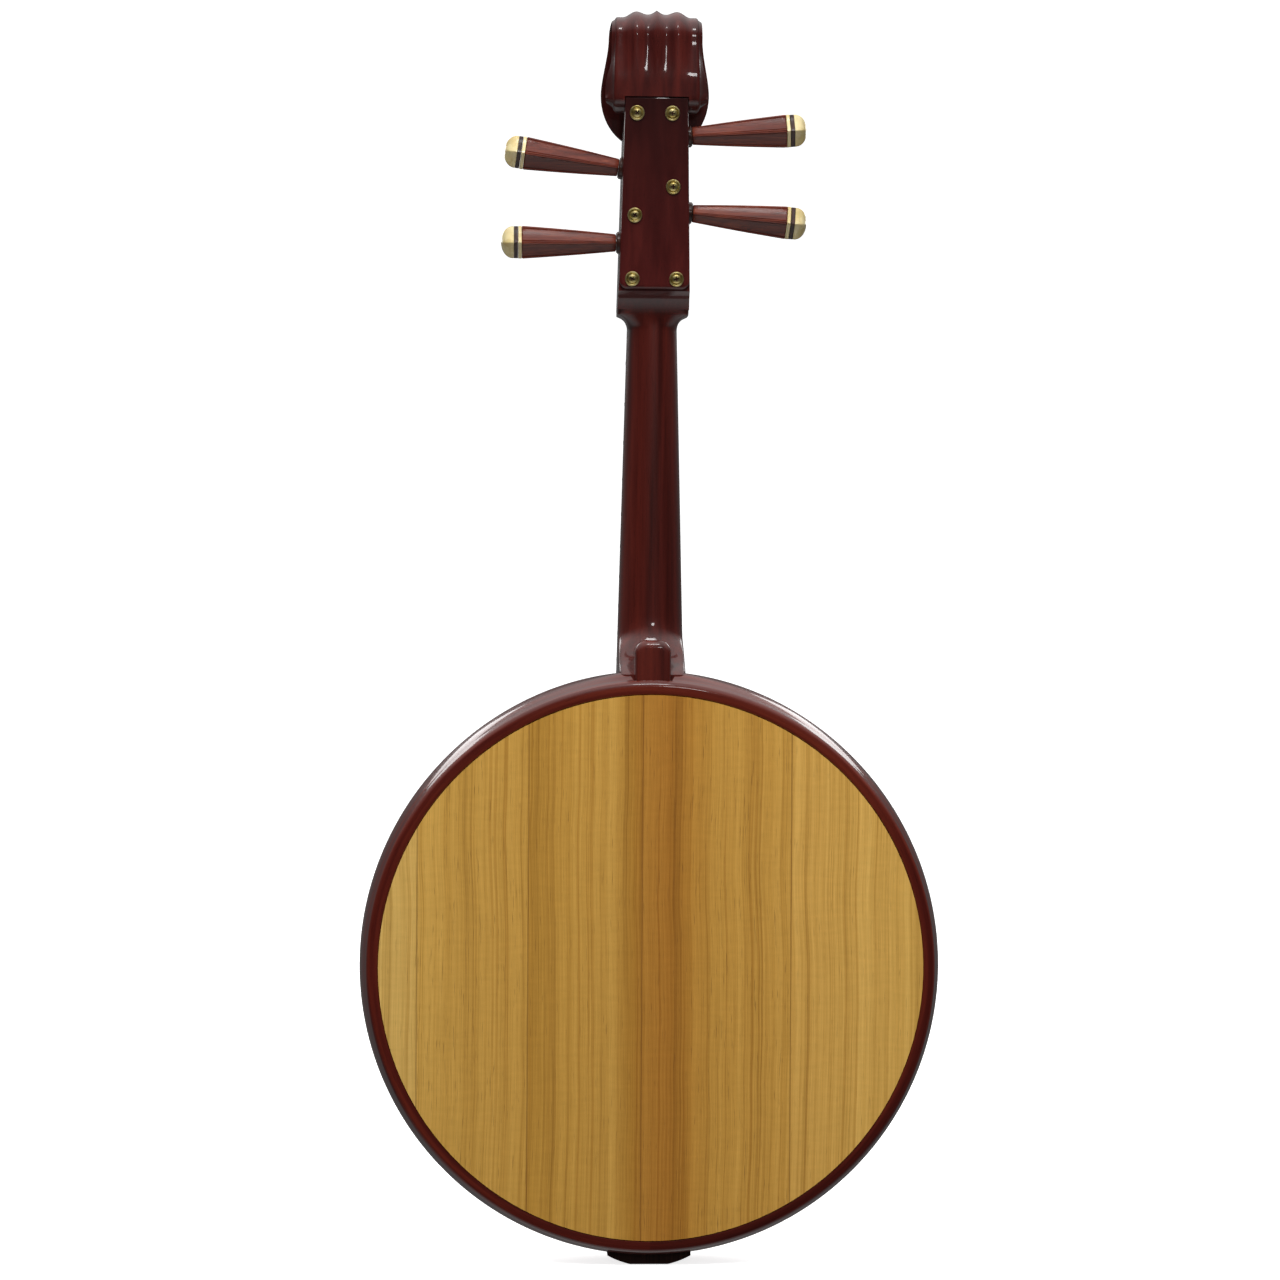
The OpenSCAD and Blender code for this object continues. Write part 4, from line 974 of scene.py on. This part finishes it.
def make_world():
    """A soft room: bright overhead, a little light from below, dim all round."""
    world = bpy.data.worlds.new("world")
    world.use_nodes = True
    tree = world.node_tree

    def node(kind, **props):
        made = tree.nodes.new(kind)
        for key, value in props.items():
            setattr(made, key, value)
        return made

    way = node("ShaderNodeSeparateXYZ")
    tree.links.new(node("ShaderNodeTexCoord").outputs["Generated"], way.inputs[0])
    depth = node("ShaderNodeMapRange")
    depth.inputs["From Min"].default_value = -0.6
    depth.inputs["From Max"].default_value = 0.7
    depth.inputs["To Min"].default_value = 0.12
    depth.inputs["To Max"].default_value = 0.02
    tree.links.new(way.outputs[1], depth.inputs["Value"])
    height = node("ShaderNodeMapRange")
    height.inputs["From Min"].default_value = 0.35
    height.inputs["From Max"].default_value = 0.95
    height.inputs["To Min"].default_value = 0.0
    height.inputs["To Max"].default_value = 1.25
    tree.links.new(way.outputs[2], height.inputs["Value"])
    below = node("ShaderNodeMapRange")
    below.inputs["From Min"].default_value = -0.55
    below.inputs["From Max"].default_value = -0.95
    below.inputs["To Min"].default_value = 0.0
    below.inputs["To Max"].default_value = 0.7
    tree.links.new(way.outputs[2], below.inputs["Value"])
    total = depth.outputs[0]
    for part in (height, below):
        added = node("ShaderNodeMath", operation="ADD")
        tree.links.new(total, added.inputs[0])
        tree.links.new(part.outputs[0], added.inputs[1])
        total = added.outputs[0]
    tree.links.new(total, tree.nodes["Background"].inputs["Strength"])
    tree.nodes["Background"].inputs["Color"].default_value = (1, 1, 1, 1)
    bpy.context.scene.world = world


make_stage()
make_world()
area("top", (0.15, 1.5, 2.4), (0, 0.0, 0.5), 1.5, 1.0, 53).visible_glossy = False
area("lamp_low", (-0.25, 2.3, 1.15), (0, 0.0, 0.5), 0.2, 0.2, 2.2)
area("lamp_high", (-0.1, 1.6, 2.3), (0, 0.0, 0.8), 0.3, 0.3, 5)
area("front", (0.3, -2.4, 1.3), (0, 0.0, 0.4), 1.5, 1.0, 16).visible_glossy = False
for side in (-1, 1):
    area(f"edge_{side + 1}", (side * 0.75, -1.2, 1.07), (0, 0.0, 0.87), 0.5, 0.4, 2.2).visible_camera = False
bpy.context.scene.view_settings.view_transform = "Standard"
